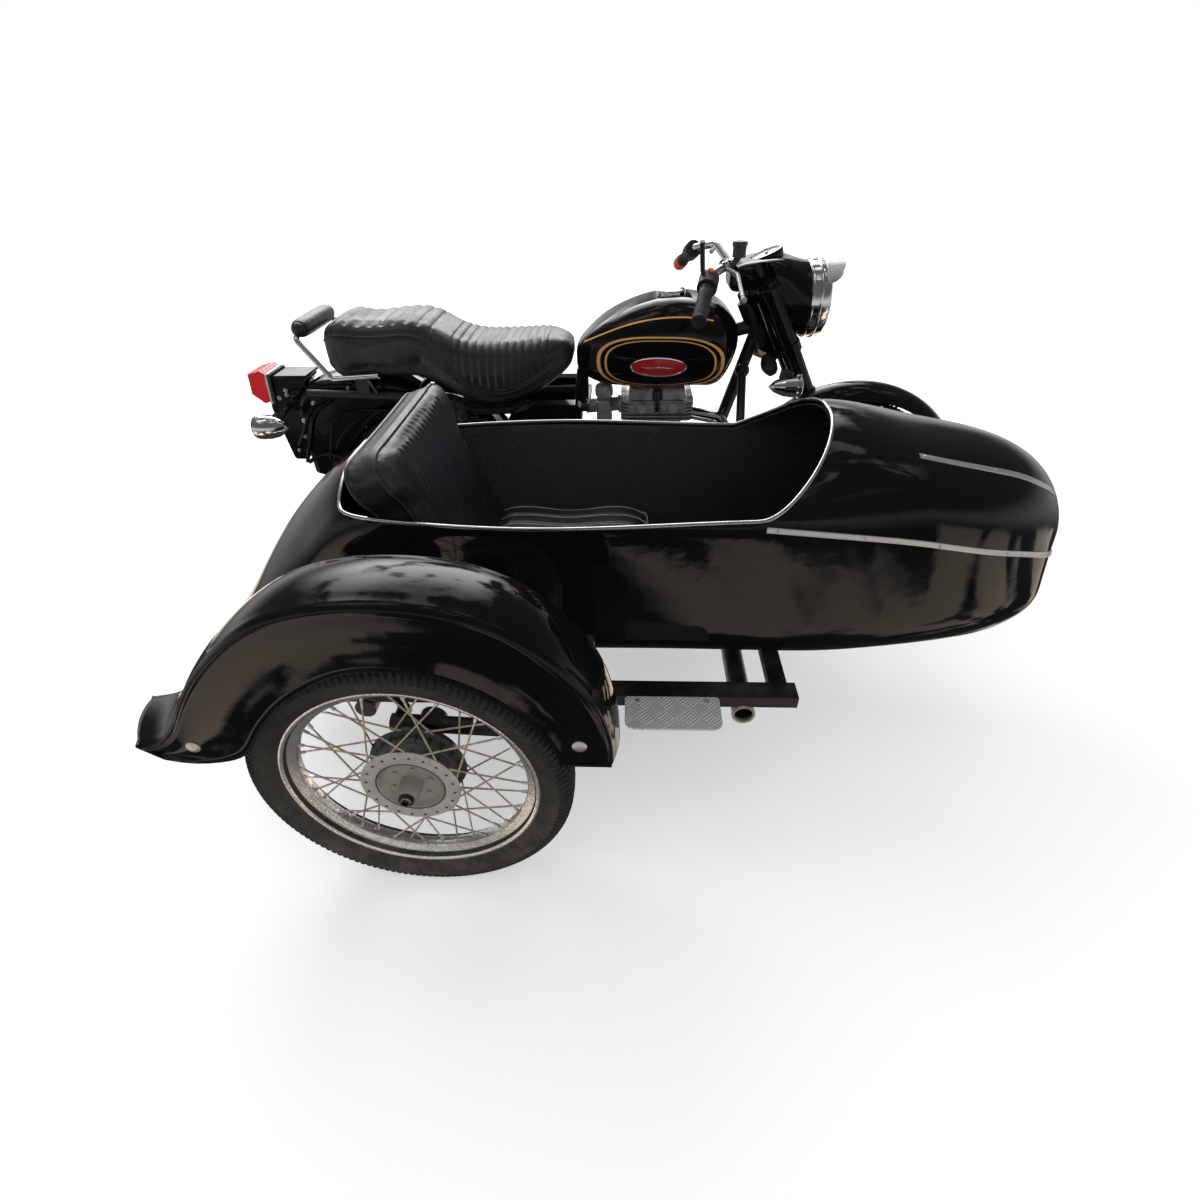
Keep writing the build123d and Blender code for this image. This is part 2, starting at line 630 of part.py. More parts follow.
with BuildPart() as swingarm:
    for side in (-1, 1):
        arm = side * SWINGARM_HALF
        bar([on_bike(-18, arm, TYRE_RADIUS), on_bike(PIVOT_FORWARD, arm, PIVOT_UP)], 15.0)
        disc(on_bike(PIVOT_FORWARD, 0, PIVOT_UP), 24.0, *sorted((arm - side * 8, arm + side * 20)))
        disc(REAR_AXLE, 22.0, *sorted((arm - side * 12, arm + side * 12)))
        bar([on_bike(-8, arm, 330), on_bike(-8, arm, 352)], 12.0)
        disc(on_bike(SHOCK_FOOT[0], 0, SHOCK_FOOT[1]), 8.0, *sorted((arm, side * (SHOCK_HALF + 22))))
    with Locations(on_bike(370, 0, 333)):
        Box(36, 2 * SWINGARM_HALF, 26)
    disc(REAR_AXLE, AXLE_RADIUS, -SWINGARM_HALF - 24, SWINGARM_HALF + 24)
    pivot = on_bike(PIVOT_FORWARD, 0, PIVOT_UP)
    disc(pivot, 10.0 + SKIN_GAP, -SWINGARM_HALF - 40, SWINGARM_HALF + 40, Mode.SUBTRACT)
keep(swingarm, "swingarm")

with BuildPart() as rear_shocks:
    for side in (-1, 1):
        top = on_bike(SHOCK_TOP[0], side * SHOCK_HALF, SHOCK_TOP[1])
        foot = on_bike(SHOCK_FOOT[0], side * SHOCK_HALF, SHOCK_FOOT[1])
        run = (top - foot).normalized()
        bar([foot, top], 10.0)
        bar([foot + run * 40, top - run * 22], 26.0)
        inner, outer = sorted((side * (SHOCK_HALF - 14), side * (SHOCK_HALF + 14)))
        for forward, up in (SHOCK_TOP, SHOCK_FOOT):
            disc(on_bike(forward, 0, up), 16.0, inner, outer)
        reach = SHOCK_HALF + 40
        disc(on_bike(SHOCK_TOP[0], 0, SHOCK_TOP[1]), 9.0 + SKIN_GAP, -reach, reach, Mode.SUBTRACT)
        disc(on_bike(SHOCK_FOOT[0], 0, SHOCK_FOOT[1]), 8.0 + SKIN_GAP, -reach, reach, Mode.SUBTRACT)
keep(rear_shocks, "rear_shocks")

# ---------------------------------------------------------------- chain
FRONT_SPROCKET_X = 512.0
FRONT_SPROCKET_UP = 345.0
FRONT_SPROCKET_RADIUS = 34.0


def chain_loop(grow, half_width, mode=Mode.ADD):
    """The oval round both sprockets: two straight runs and two arcs, grown by a margin."""
    with BuildSketch(side_plane(CHAIN_LINE)) as loop:
        with Locations((0, TYRE_RADIUS)):
            Circle(SPROCKET_RADIUS + grow)
        with Locations((FRONT_SPROCKET_X, FRONT_SPROCKET_UP)):
            Circle(FRONT_SPROCKET_RADIUS + grow)
        make_hull()
    extrude(loop.sketch, amount=half_width, both=True, mode=mode)


with BuildPart() as chain:
    chain_loop(10, 5)
    chain_loop(0.6, 6, Mode.SUBTRACT)
keep(chain, "drive_chain")

# ---------------------------------------------------------------- engine
CRANKCASE = [  # corners as forward, up
    (575, 500), (700, 520), (850, 515), (905, 430), (905, 330),
    (860, 250), (640, 240), (520, 290), (512, 420),
]
TIMING_COVER = [
    (640, 470), (700, 500), (800, 490), (850, 420),
    (850, 320), (790, 265), (680, 265), (625, 340),
]
CHAINCASE = [
    (530, 400), (560, 440), (800, 470), (870, 430),
    (870, 320), (820, 270), (560, 290), (525, 340),
]
with BuildPart() as engine_cases:
    plate(CRANKCASE, 0, 150, 30)
    plate(TIMING_COVER, -90, 34, 35)
    plate(CHAINCASE, 95, 44, 40)
    chain_loop(18, 14, Mode.SUBTRACT)
    sprocket = on_bike(FRONT_SPROCKET_X, 0, FRONT_SPROCKET_UP)
    disc(sprocket, FRONT_SPROCKET_RADIUS, CHAIN_LINE - 3, CHAIN_LINE + 3)
    disc(on_bike(FRONT_SPROCKET_X, 0, FRONT_SPROCKET_UP), 14.0, 40, CHAIN_LINE)
    add(bike_frame.part, mode=Mode.SUBTRACT)
keep(engine_cases, "engine_cases")

FIN_ROWS = (  # height, half length, half width
    *((528 + 11 * n, 78, 74) for n in range(7)),
    *((610 + 11 * n, 112, 92) for n in range(6)),
)
CYLINDER_X = 752.0
with BuildPart() as engine_barrel:
    with BuildSketch(Plane.XY.offset(516)) as core:
        with Locations(tuple(on_bike(CYLINDER_X, 0, 0))[:2]):
            Circle(58)
    extrude(core.sketch, amount=170)
    for height, half_length, half_width in FIN_ROWS:
        with BuildSketch(Plane.XY.offset(height)) as fin:
            with Locations(tuple(on_bike(CYLINDER_X, 0, 0))[:2]):
                RectangleRounded(2 * half_length, 2 * half_width, 26)
        extrude(fin.sketch, amount=4)
    with Locations(on_bike(CYLINDER_X, 0, 676)):
        Box(150, 120, 36)
    add(engine_cases.part, mode=Mode.SUBTRACT)
keep(engine_barrel, "engine_barrel")

with BuildPart() as carburettor:
    with Locations(on_bike(588, -52, 640)):
        Cylinder(22, 96)
        Box(46, 60, 50)
    bar([on_bike(640, -40, 648), on_bike(530, -52, 645)], 21.0)
    bar([on_bike(588, -52, 680), on_bike(588, -52, 702)], 14.0)
    add(engine_barrel.part, mode=Mode.SUBTRACT)
    add(bike_frame.part, mode=Mode.SUBTRACT)
keep(carburettor, "carburettor")

EXHAUST_POINTS = (  # forward, left, up
    (850, -50, 622),
    (975, -58, 600),
    (938, -118, 400),
    (852, -165, 246),
    (610, -178, 236),
    (300, -190, 240),
)
with BuildPart() as exhaust:
    bar([on_bike(*p) for p in EXHAUST_POINTS], 19.0, 45)
    bar([on_bike(330, -189, 240), on_bike(-250, -205, 262)], 42.0)
    bar([on_bike(-240, -204, 262), on_bike(-290, -206, 264)], 24.0)
    add(engine_barrel.part, mode=Mode.SUBTRACT)
keep(exhaust, "exhaust")

# ---------------------------------------------------------------- tank, seat and rear end
TANK_ROWS = (  # forward, half width, bottom, top, corner radius
    (506, 52, 752, 822, 24),
    (560, 96, 728, 872, 44),
    (650, 132, 714, 924, 74),
    (770, 150, 711, 955, 92),
    (880, 148, 713, 948, 92),
    (950, 122, 740, 915, 76),
    (985, 66, 806, 872, 32),
)
with BuildPart() as fuel_tank:
    rounded_sections(TANK_ROWS)
    with BuildSketch(side_plane()) as tunnel:
        with BuildLine():
            roof = ((440, TUNNEL_BACK), (1100, TUNNEL_BACK + 660 * TUNNEL_SLOPE))
            Polyline((440, 690), *roof, (1100, 690), close=True)
        make_face()
    extrude(tunnel.sketch, amount=30, both=True, mode=Mode.SUBTRACT)
keep(fuel_tank, "fuel_tank")

with BuildPart() as fuel_cap:
    with BuildSketch(Plane.XY.offset(935)) as base:
        with Locations(tuple(on_bike(785, 0, 0))[:2]):
            Circle(44)
    extrude(base.sketch, amount=36)
    fillet(fuel_cap.faces().sort_by(Axis.Z)[-1].edges(), 8)
    add(fuel_tank.part, mode=Mode.SUBTRACT)
keep(fuel_cap, "fuel_cap")

BADGE_FORWARD = 750.0
BADGE_UP = 790.0
BADGE_THICK = 6.0
with BuildPart() as badge_blanks:
    for side in (-1, 1):
        with BuildSketch(side_plane(side * 160)) as face:
            with Locations((BADGE_FORWARD, BADGE_UP)):
                Ellipse(84, 30)
        extrude(face.sketch, amount=80, both=True)
with BuildPart() as badges:
    rounded_sections([
        (forward, half + BADGE_THICK, bottom - BADGE_THICK, top + BADGE_THICK, corner + BADGE_THICK)
        for forward, half, bottom, top, corner in TANK_ROWS
    ])
    add(badge_blanks.part, mode=Mode.INTERSECT)
    add(fuel_tank.part, mode=Mode.SUBTRACT)
keep(badges, "tank_badges")

SEAT_ROWS = (  # forward, half width, bottom, top, corner radius
    (-248, 92, 790, 880, 30),
    (-215, 122, 764, 904, 34),
    (-140, 129, 760, 908, 35),
    (-60, 134, 758, 908, 36),
    (70, 138, 750, 902, 36),
    (150, 142, 706, 862, 40),
    (260, 142, 676, 846, 44),
    (380, 132, 700, 850, 44),
    (455, 100, 745, 850, 36),
    (498, 66, 778, 836, 24),
)
with BuildPart() as dual_seat:
    rounded_sections(SEAT_ROWS)
    add(bike_frame.part, mode=Mode.SUBTRACT)
keep(dual_seat, "dual_seat")

GUARD_EDGE = ((-402, 436), (-402, 738), (-60, 738), (200, 615), (240, 540))
GUARD_HOLLOW = ((-399, 420), (-399, 735), (-61, 735), (197, 612), (248, 520))
with BuildPart() as rear_mudguard:
    with BuildSketch(side_plane()) as outline:
        with BuildLine():
            FilletPolyline(*GUARD_EDGE, radius=(150, 60, 40))
            Line((240, 540), (-402, 436))
        make_face()
    extrude(outline.sketch, amount=REAR_GUARD_HALF, both=True)
    with BuildSketch(side_plane()) as inside:
        with BuildLine():
            FilletPolyline(*GUARD_HOLLOW, radius=(147, 57, 37))
            Line((248, 520), (-399, 420))
        make_face()
    extrude(inside.sketch, amount=69, both=True, mode=Mode.SUBTRACT)
    disc(REAR_AXLE, 382.0, -100, 100, Mode.SUBTRACT)
keep(rear_mudguard, "rear_mudguard")

TAIL_CARRIER = [  # corners as forward, up
    (-476, 742), (-340, 744), (-380, 690), (-404, 560), (-412, 468), (-462, 468), (-486, 640),
]
PLATE_HOLE_RADIUS = 3.0
PLATE_HOLE_SPREAD = 60.0
PLATE_HOLE_UP = 560.0
with BuildPart() as tail_carrier:
    plate(TAIL_CARRIER, 0, 96, 12)
    add(rear_mudguard.part, mode=Mode.SUBTRACT)
    with BuildSketch(side_plane()) as inside:
        with BuildLine():
            FilletPolyline(*GUARD_HOLLOW, radius=(147, 57, 37))
            Line((248, 520), (-399, 420))
        make_face()
    extrude(inside.sketch, amount=69, both=True, mode=Mode.SUBTRACT)
    for side in (-1, 1):
        low = on_bike(-520, side * PLATE_HOLE_SPREAD / 2, PLATE_HOLE_UP)
        bar([low, low + Vector(80, 0, 0)], PLATE_HOLE_RADIUS, mode=Mode.SUBTRACT)
keep(tail_carrier, "tail_carrier")

with BuildPart() as tail_lamp:
    plate([(-534, 690), (-528, 752), (-486, 762), (-466, 744), (-472, 668), (-500, 660)], 0, 104, 6)
    add(tail_carrier.part, mode=Mode.SUBTRACT)
keep(tail_lamp, "tail_lamp")

with BuildPart() as rear_indicators:
    for side in (-1, 1):
        bullet_lamp(on_bike(-470, side * 172, 628), 88, 33, -1)
        bar([on_bike(-428, side * 148, 632), on_bike(-428, side * 44, 650)], 9.0)
    add(tail_carrier.part, mode=Mode.SUBTRACT)
keep(rear_indicators, "rear_indicators")

with BuildPart() as grab_rail:
    for side in (-1, 1):
        points = [
            on_bike(-300, side * 100, 889),
            on_bike(-298, side * 138, 876),
            on_bike(-212, side * 158, 768),
            on_bike(-70, side * 158, 776),
        ]
        bar(points, 8.0, 18)
        bar([on_bike(-110, side * 158, 774), on_bike(-110, side * 92, 700)], 6.0)
    add(bike_frame.part, mode=Mode.SUBTRACT)
keep(grab_rail, "grab_rail")

with BuildPart() as backrest_pad:
    bar([on_bike(-294, -132, 897), on_bike(-294, 132, 897)], 27.0)
    add(grab_rail.part, mode=Mode.SUBTRACT)
keep(backrest_pad, "backrest_pad")

with BuildPart() as side_boxes:
    for side in (-1, 1):
        plate([(285, 470), (300, 650), (390, 684), (522, 684), (522, 610), (440, 470)], side * 130, 44, 20)
keep(side_boxes, "side_boxes")

with BuildPart() as footrests:
    for side in (-1, 1):
        bar([on_bike(480, side * (RAIL_HALF + 4 + SKIN_GAP), 300), on_bike(480, side * 235, 300)], 9.0)
        bar([on_bike(480, side * 150, 300), on_bike(480, side * 238, 300)], 15.0)
keep(footrests, "footrests")

# ---------------------------------------------------------------- centre stand
STAND_FOOT = (160.0, 165.0)
with BuildPart() as centre_stand:
    for side in (-1, 1):
        leg = side * STAND_HALF
        bar([on_bike(STAND_FORWARD, leg, STAND_UP), on_bike(STAND_FOOT[0], leg, STAND_FOOT[1])], 11.0)
        disc(on_bike(STAND_FORWARD, 0, STAND_UP), 18.0, *sorted((leg - side * 10, leg + side * 10)))
        disc(on_bike(STAND_FOOT[0], 0, STAND_FOOT[1]), 14.0, *sorted((leg - side * 16, leg + side * 16)))
    bar([on_bike(345, -STAND_HALF, 196), on_bike(345, STAND_HALF, 196)], 9.0)
    reach = STAND_HALF + 30
    disc(on_bike(STAND_FORWARD, 0, STAND_UP), STAND_PIN + SKIN_GAP, -reach, reach, Mode.SUBTRACT)
keep(centre_stand, "centre_stand")

# ---------------------------------------------------------------- sidecar body
HULL_ROWS = (  # forward, bottom, shoulder, top, half width low, half width at shoulder, bilge
    (-335, 348, 362, 376, 92, 92, 6),
    (-290, 346, 392, 430, 135, 128, 14),
    (-180, 346, 490, 570, 192, 172, 36),
    (-40, 352, 610, 712, 226, 204, 56),
    (100, 360, 725, 792, 246, 236, 66),
    (300, 370, 745, 805, 254, 274, 66),
    (500, 370, 750, 810, 257, 288, 66),
    (760, 370, 745, 815, 257, 270, 66),
    (940, 366, 735, 835, 255, 256, 66),
    (1090, 354, 730, 864, 250, 246, 80),
    (1270, 348, 708, 832, 235, 224, 100),
    (1430, 346, 666, 803, 206, 190, 110),
    (1550, 362, 622, 750, 162, 136, 96),
    (1620, 402, 583, 664, 104, 80, 60),
    (1648, 466, 556, 590, 42, 36, 20),
)


def hull(grow=0.0, mode=Mode.ADD):
    """The body's outer form grown by a margin: flat bottom, round bilges, arched top."""
    sections = []
    rows = HULL_ROWS if grow >= 0 else HULL_ROWS[1:-1]
    last = len(rows) - 1
    for n, (forward, bottom, shoulder, top, low, high, bilge) in enumerate(rows):
        along = forward + (grow if n == last else -grow if n == 0 else 0)
        bottom, top, low, high = bottom - grow, top + grow, low + grow, high + grow
        bulge = bilge * (1 - cos(radians(45)))
        with BuildSketch(cross_plane(along, -BODY_OFFSET)) as section:
            with BuildLine():
                Line((bilge - low, bottom), (low - bilge, bottom))
                ThreePointArc((low - bilge, bottom), (low - bulge, bottom + bulge), (low, bottom + bilge))
                Line((low, bottom + bilge), (high, shoulder))
                ThreePointArc((high, shoulder), (0, top), (-high, shoulder))
                Line((-high, shoulder), (-low, bottom + bilge))
                ThreePointArc((-low, bottom + bilge), (bulge - low, bottom + bulge), (bilge - low, bottom))
            make_face()
        sections.append(section.sketch)
    loft(sections, mode=mode)


def cockpit(raised=0.0, mode=Mode.SUBTRACT):
    """Everything above the cockpit's edge: the sill, and the scuttle's slope in front."""
    reach = 400.0
    with BuildSketch(side_plane(-BODY_OFFSET)) as opening:
        with BuildLine():
            rear_top = (COCKPIT_REAR - 0.5 * reach, COCKPIT_SILL + reach + raised)
            front_foot = (COCKPIT_FRONT - raised * 0.4, COCKPIT_SILL + raised)
            scuttle = (SCUTTLE_FORWARD - raised * 0.4, SCUTTLE_TOP + raised)
            front_top = (scuttle[0] + 0.5 * reach, scuttle[1] + 0.8 * reach)
            Polyline(rear_top, (COCKPIT_REAR, COCKPIT_SILL + raised), front_foot)
            ThreePointArc(front_foot, (SCUTTLE_BEND[0] - raised * 0.4, SCUTTLE_BEND[1] + raised), scuttle)
            Polyline(scuttle, front_top, rear_top)
        make_face()
    extrude(opening.sketch, amount=reach, both=True, mode=mode)


with BuildPart() as sidecar_body:
    hull()
    hull(-BODY_WALL, Mode.SUBTRACT)
    cockpit()
keep(sidecar_body, "sidecar_body")

with BuildPart() as coaming:
    hull(COAMING_BEAD)
    hull(-BODY_WALL - COAMING_BEAD, Mode.SUBTRACT)
    cockpit(2 * COAMING_BEAD)
    with BuildPart(mode=Mode.PRIVATE) as above:
        cockpit(0.0, Mode.ADD)
    add(above.part, mode=Mode.INTERSECT)
keep(coaming, "sidecar_coaming")

with BuildPart() as lining:
    hull(-BODY_WALL - SKIN_GAP)
    hull(-BODY_WALL - SKIN_GAP - LINING, Mode.SUBTRACT)
    cockpit(-25.0)
    with BuildSketch(cross_plane(COCKPIT_REAR + 30, -BODY_OFFSET)) as behind:
        Rectangle(1200, 2400)
    extrude(behind.sketch, amount=-900, mode=Mode.SUBTRACT)
    with BuildSketch(cross_plane(1250, -BODY_OFFSET)) as ahead:
        Rectangle(1200, 2400)
    extrude(ahead.sketch, amount=900, mode=Mode.SUBTRACT)
keep(lining, "sidecar_carpet")

FLOOR_TOP = 370.0 + BODY_WALL + LINING + 2 * SKIN_GAP
SEAT_BASE_TOP = 430.0
SEAT_BASE_SINK = 2.0
CUSHION_TOP = 522.0
CUSHION_REAR = 295.5
CUSHION_LONG = 430.0
with BuildPart() as seat_base:
    with Locations(on_bike(500, -BODY_OFFSET, (FLOOR_TOP + SEAT_BASE_TOP) / 2)):
        Box(400, 360, SEAT_BASE_TOP - FLOOR_TOP + 2 * SEAT_BASE_SINK)
    with Locations(on_bike(500, -BODY_OFFSET, SEAT_BASE_TOP + 25)):
        Box(420, 380, 50, mode=Mode.SUBTRACT)
    add(lining.part, mode=Mode.SUBTRACT)
keep(seat_base, "sidecar_seat_base")


BACK_FOOT = on_bike(334.6, -BODY_OFFSET, 446)
BACK_LEAN = 19.3
BACK_THICKNESS = 92.0
with BuildPart() as seat_back:
    normal = Vector(cos(radians(BACK_LEAN)), 0, sin(radians(BACK_LEAN)))
    with BuildSketch(Plane(origin=BACK_FOOT, x_dir=(0, 1, 0), z_dir=normal)) as face:
        with BuildLine():
            left = [(-205, 0), (-226, 335), (-256, 368), (-256, 441)]
            edge = left + [(-across, along) for across, along in reversed(left)]
            FilletPolyline(*edge, radius=30)
            Line(edge[-1], edge[0])
        make_face()
    extrude(face.sketch, amount=-BACK_THICKNESS)
keep(seat_back, "sidecar_seat_back")

with BuildPart() as seat_cushion:
    middle_up = (SEAT_BASE_TOP + CUSHION_TOP) / 2 + SKIN_GAP
    with Locations(on_bike(CUSHION_REAR + CUSHION_LONG / 2, -BODY_OFFSET, middle_up)):
        Box(CUSHION_LONG, 420, CUSHION_TOP - SEAT_BASE_TOP)
    fillet(seat_cushion.edges(), 22)
    add(seat_back.part, mode=Mode.SUBTRACT)
keep(seat_cushion, "sidecar_seat_cushion")

# ---------------------------------------------------------------- sidecar chassis
MID_CROSS = 1010.0
WHEEL_ARM = -1095.0
ARM_PIVOT = 560.0
SHOCK_LINE = WHEEL_ARM + 30
SHOCK_POST = -1003.0
SHOCK_FORWARD = 175.0
SHOCK_HEAD = 600.0
with BuildPart() as sidecar_frame:
    for across in (OUTER_RAIL, INNER_RAIL):
        with Locations(on_bike((RAIL_REAR + RAIL_FRONT) / 2, across, RAIL_TOP - RAIL_HEIGHT / 2)):
            Box(RAIL_FRONT - RAIL_REAR, RAIL_WIDTH, RAIL_HEIGHT)
    for forward in (MID_CROSS, 560.0, 246.0, RAIL_REAR + 30):
        with Locations(on_bike(forward, (OUTER_RAIL + INNER_RAIL) / 2, RAIL_TOP - RAIL_HEIGHT / 2)):
            Box(40, INNER_RAIL - OUTER_RAIL, RAIL_HEIGHT - 4)
    for forward, inner_end in ((FRONT_CROSS, -24), (REAR_CROSS, INNER_RAIL + 28)):
        ends = [on_bike(forward, left, CROSS_TUBE_HEIGHT) for left in (OUTER_RAIL - 28, inner_end)]
        bar(ends, CROSS_TUBE_RADIUS)
    for forward, belly in ((RAIL_REAR + 30, 350.0), (246.0, 368.0), (560.0, 371.0), (MID_CROSS, 363.0)):
        for across in (-800.0, -566.0):
            with Locations(on_bike(forward, across, (RAIL_TOP + belly) / 2 - 2)):
                Cylinder(18, belly - RAIL_TOP + 3)
    for forward, up in ((-101.0, 480.0), (587.0, 499.0)):
        stay = ((OUTER_RAIL, RAIL_TOP - 10), (OUTER_RAIL - 20, up), (GUARD_OUTER + GUARD_WALL, up))
        bar([on_bike(forward, *place) for place in stay], 11.0, 30)
    post_foot = on_bike(SHOCK_FORWARD, OUTER_RAIL - 8, RAIL_TOP - 10)
    bar([post_foot, on_bike(SHOCK_FORWARD, SHOCK_POST, SHOCK_HEAD)], 13.0)
    disc(on_bike(SHOCK_FORWARD, 0, SHOCK_HEAD), 9.0, SHOCK_LINE - 22, SHOCK_POST)
    tube_end = on_bike(FRONT_CROSS, OUTER_RAIL - 28, CROSS_TUBE_HEIGHT)
    bore = [tube_end - Vector(0, 1, 0), tube_end + Vector(0, CROSS_BORE_LENGTH, 0)]
    bar(bore, CROSS_BORE_RADIUS, mode=Mode.SUBTRACT)
    add(sidecar_body.part, mode=Mode.SUBTRACT)
keep(sidecar_frame, "sidecar_frame")

STRUTS = (  # inner rail end, motorcycle end
    ((985, -400, 322), (1012, -18, 740)),
    ((440, -400, 322), (470, -112, 440)),
    ((100, -400, 322), (150, -114, 640)),
)
with BuildPart() as struts:
    for low, high in STRUTS:
        bar([on_bike(*low), on_bike(*high)], 13.0)
        with Locations(on_bike(*low), on_bike(*high)):
            Sphere(22)
    with Locations(on_bike(DOWNTUBE_X, 0, (DOWNTUBE_FOOT + CROSS_TUBE_HEIGHT) / 2)):
        Box(56, 56, 70)
    add(sidecar_frame.part, mode=Mode.SUBTRACT)
    add(bike_frame.part, mode=Mode.SUBTRACT)
    add(engine_cases.part, mode=Mode.SUBTRACT)
keep(struts, "sidecar_struts")

with BuildPart() as wheel_arm:
    bar([on_bike(ARM_PIVOT, WHEEL_ARM, 300), on_bike(SHOCK_FORWARD - 16, WHEEL_ARM, TYRE_RADIUS + 4)], 19.0)
    disc(on_bike(SHOCK_FORWARD, 0, TYRE_RADIUS + 2), 9.0, WHEEL_ARM, SHOCK_LINE + 22)
    disc(on_bike(ARM_PIVOT, 0, 300), 26.0, WHEEL_ARM - 24, WHEEL_ARM + 24)
    disc(on_bike(ARM_PIVOT, 0, 300), 15.0, WHEEL_ARM, OUTER_RAIL - RAIL_WIDTH / 2)
    disc(on_bike(SIDECAR_WHEEL_LEAD, 0, TYRE_RADIUS), 30.0, WHEEL_ARM - 28, WHEEL_ARM + 22)
    disc(SIDECAR_AXLE, 82.0, HUB_HALF_WIDTH + 5, HUB_BOSS_HALF + 8)
    disc(SIDECAR_AXLE, HUB_BOSS_RADIUS + 5, HUB_HALF_WIDTH, HUB_BOSS_HALF + 5, Mode.SUBTRACT)
    disc(SIDECAR_AXLE, 20.0, HUB_BOSS_HALF + 5, 130)
    disc(SIDECAR_AXLE, AXLE_RADIUS, -HUB_BOSS_HALF - 26, 130)
    disc(SIDECAR_AXLE, 15.0, -HUB_BOSS_HALF - 20, -HUB_BOSS_HALF - 5)
keep(wheel_arm, "sidecar_wheel_arm")

with BuildPart() as sidecar_shock:
    foot = on_bike(SHOCK_FORWARD, SHOCK_LINE, TYRE_RADIUS + 2)
    head = on_bike(SHOCK_FORWARD, SHOCK_LINE, SHOCK_HEAD)
    bar([foot, head], 9.0)
    bar([foot + Vector(0, 0, 60), head - Vector(0, 0, 22)], 27.0)
    for end in (foot, head):
        disc(end, 16.0, -10.5, 10.5)
        disc(end, 9.0 + SKIN_GAP, -40, 40, Mode.SUBTRACT)
keep(sidecar_shock, "sidecar_shock")

# ---------------------------------------------------------------- sidecar mudguard and step
with BuildPart() as sidecar_mudguard:
    with BuildSketch(side_plane(GUARD_OUTER)) as outline:
        with BuildLine():
            Polyline((642, 452), (-236, 452), (-196, 480), (-30, 664))
            ThreePointArc((-30, 664), (105, 762), (293, 794))
            ThreePointArc((293, 794), (522, 712), (642, 500))
            Line((642, 500), (642, 452))
        make_face()
    extrude(outline.sketch, amount=GUARD_OUTER - GUARD_INNER)
    with BuildSketch(side_plane(GUARD_OUTER + GUARD_WALL)) as hollow:
        with BuildLine():
            Polyline((642 - GUARD_WALL, 440), (-220, 440), (-192, 476), (-27, 660))
            ThreePointArc((-27, 660), (106, 757), (293, 794 - GUARD_WALL))
            ThreePointArc((293, 794 - GUARD_WALL), (519, 709), (642 - GUARD_WALL, 500))
            Line((642 - GUARD_WALL, 500), (642 - GUARD_WALL, 440))
        make_face()
    extrude(hollow.sketch, amount=GUARD_OUTER - GUARD_INNER + 2 * GUARD_WALL, mode=Mode.SUBTRACT)
    with BuildSketch(side_plane(GUARD_OUTER)) as arch:
        with Locations((277, 395)):
            Circle(277)
    extrude(arch.sketch, amount=400, both=True, mode=Mode.SUBTRACT)
    add(sidecar_frame.part, mode=Mode.SUBTRACT)
keep(sidecar_mudguard, "sidecar_mudguard")

STEP_REAR, STEP_FRONT = 662.0, 871.0
STEP_INNER = OUTER_RAIL - RAIL_WIDTH / 2
STEP_DEPTH = 96.0
with BuildPart() as step:
    with BuildSketch(Plane.XY.offset(RAIL_TOP - 4)) as top:
        with Locations(tuple(on_bike((STEP_REAR + STEP_FRONT) / 2, STEP_INNER - STEP_DEPTH / 2, 0))[:2]):
            RectangleRounded(STEP_FRONT - STEP_REAR, STEP_DEPTH, 16)
    extrude(top.sketch, amount=4)
keep(step, "sidecar_step")
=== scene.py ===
"""A sidecar motorcycle: finishes and detailed pieces over its fixed frame, in metres.

The frame's solids give every place. New pieces are surfaces worked out on grids of points,
given as forward, left and up from the ground under the rear axle, in millimetres.
"""

import json
from functools import partialmethod
from math import cos, pi, radians, sin, tan

import bmesh
import bpy
import numpy as np
from mathutils import Matrix, Vector


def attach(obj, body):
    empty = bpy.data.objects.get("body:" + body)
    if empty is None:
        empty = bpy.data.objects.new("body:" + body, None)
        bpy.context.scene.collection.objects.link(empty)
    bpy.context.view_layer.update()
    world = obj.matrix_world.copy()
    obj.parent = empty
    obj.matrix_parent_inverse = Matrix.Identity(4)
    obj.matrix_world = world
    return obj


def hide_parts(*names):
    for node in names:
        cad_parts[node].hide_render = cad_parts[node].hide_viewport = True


bl_info = {
    "name": "Sidecar motorcycle",
    "version": (1, 0, 0),
    "blender": (4, 5, 0),
    "location": "3D View > Sidebar > Sidecar",
    "description": "Finishes and detailed pieces of a sidecar motorcycle",
    "category": "Object",
}

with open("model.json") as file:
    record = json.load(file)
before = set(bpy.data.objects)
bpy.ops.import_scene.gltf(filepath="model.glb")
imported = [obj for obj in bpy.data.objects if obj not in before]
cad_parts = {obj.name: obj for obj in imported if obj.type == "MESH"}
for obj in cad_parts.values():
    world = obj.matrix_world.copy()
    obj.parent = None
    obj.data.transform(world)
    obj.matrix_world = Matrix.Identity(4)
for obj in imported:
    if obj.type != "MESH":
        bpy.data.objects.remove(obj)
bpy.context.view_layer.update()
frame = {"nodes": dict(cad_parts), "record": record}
NODES = frame["nodes"]
BODY_OF = {n: b for b, ns in frame["record"]["behaviour"]["bodies"].items() for n in ns}

REAR_AXLE_X, BIKE_Y = -585.0, 450.0
AXLES = {
    "front": (1385.0, 0.0, 320.0),
    "rear": (0.0, 0.0, 320.0),
    "sidecar": (246.0, -1230.0, 320.0),
}
BODY_LINE = -683.0
GUARD_OUTER, GUARD_INNER = -1310.0, -1165.0


# ---------------------------------------------------------------- settings
def millimetres(name, text, value, low=0.0, high=2000.0):
    """A length that Blender shows in its own units, given in millimetres."""
    return bpy.props.FloatProperty(
        name=name, description=text, default=value / 1000, min=low / 1000, max=high / 1000,
        unit="LENGTH", subtype="DISTANCE", precision=4,
    )


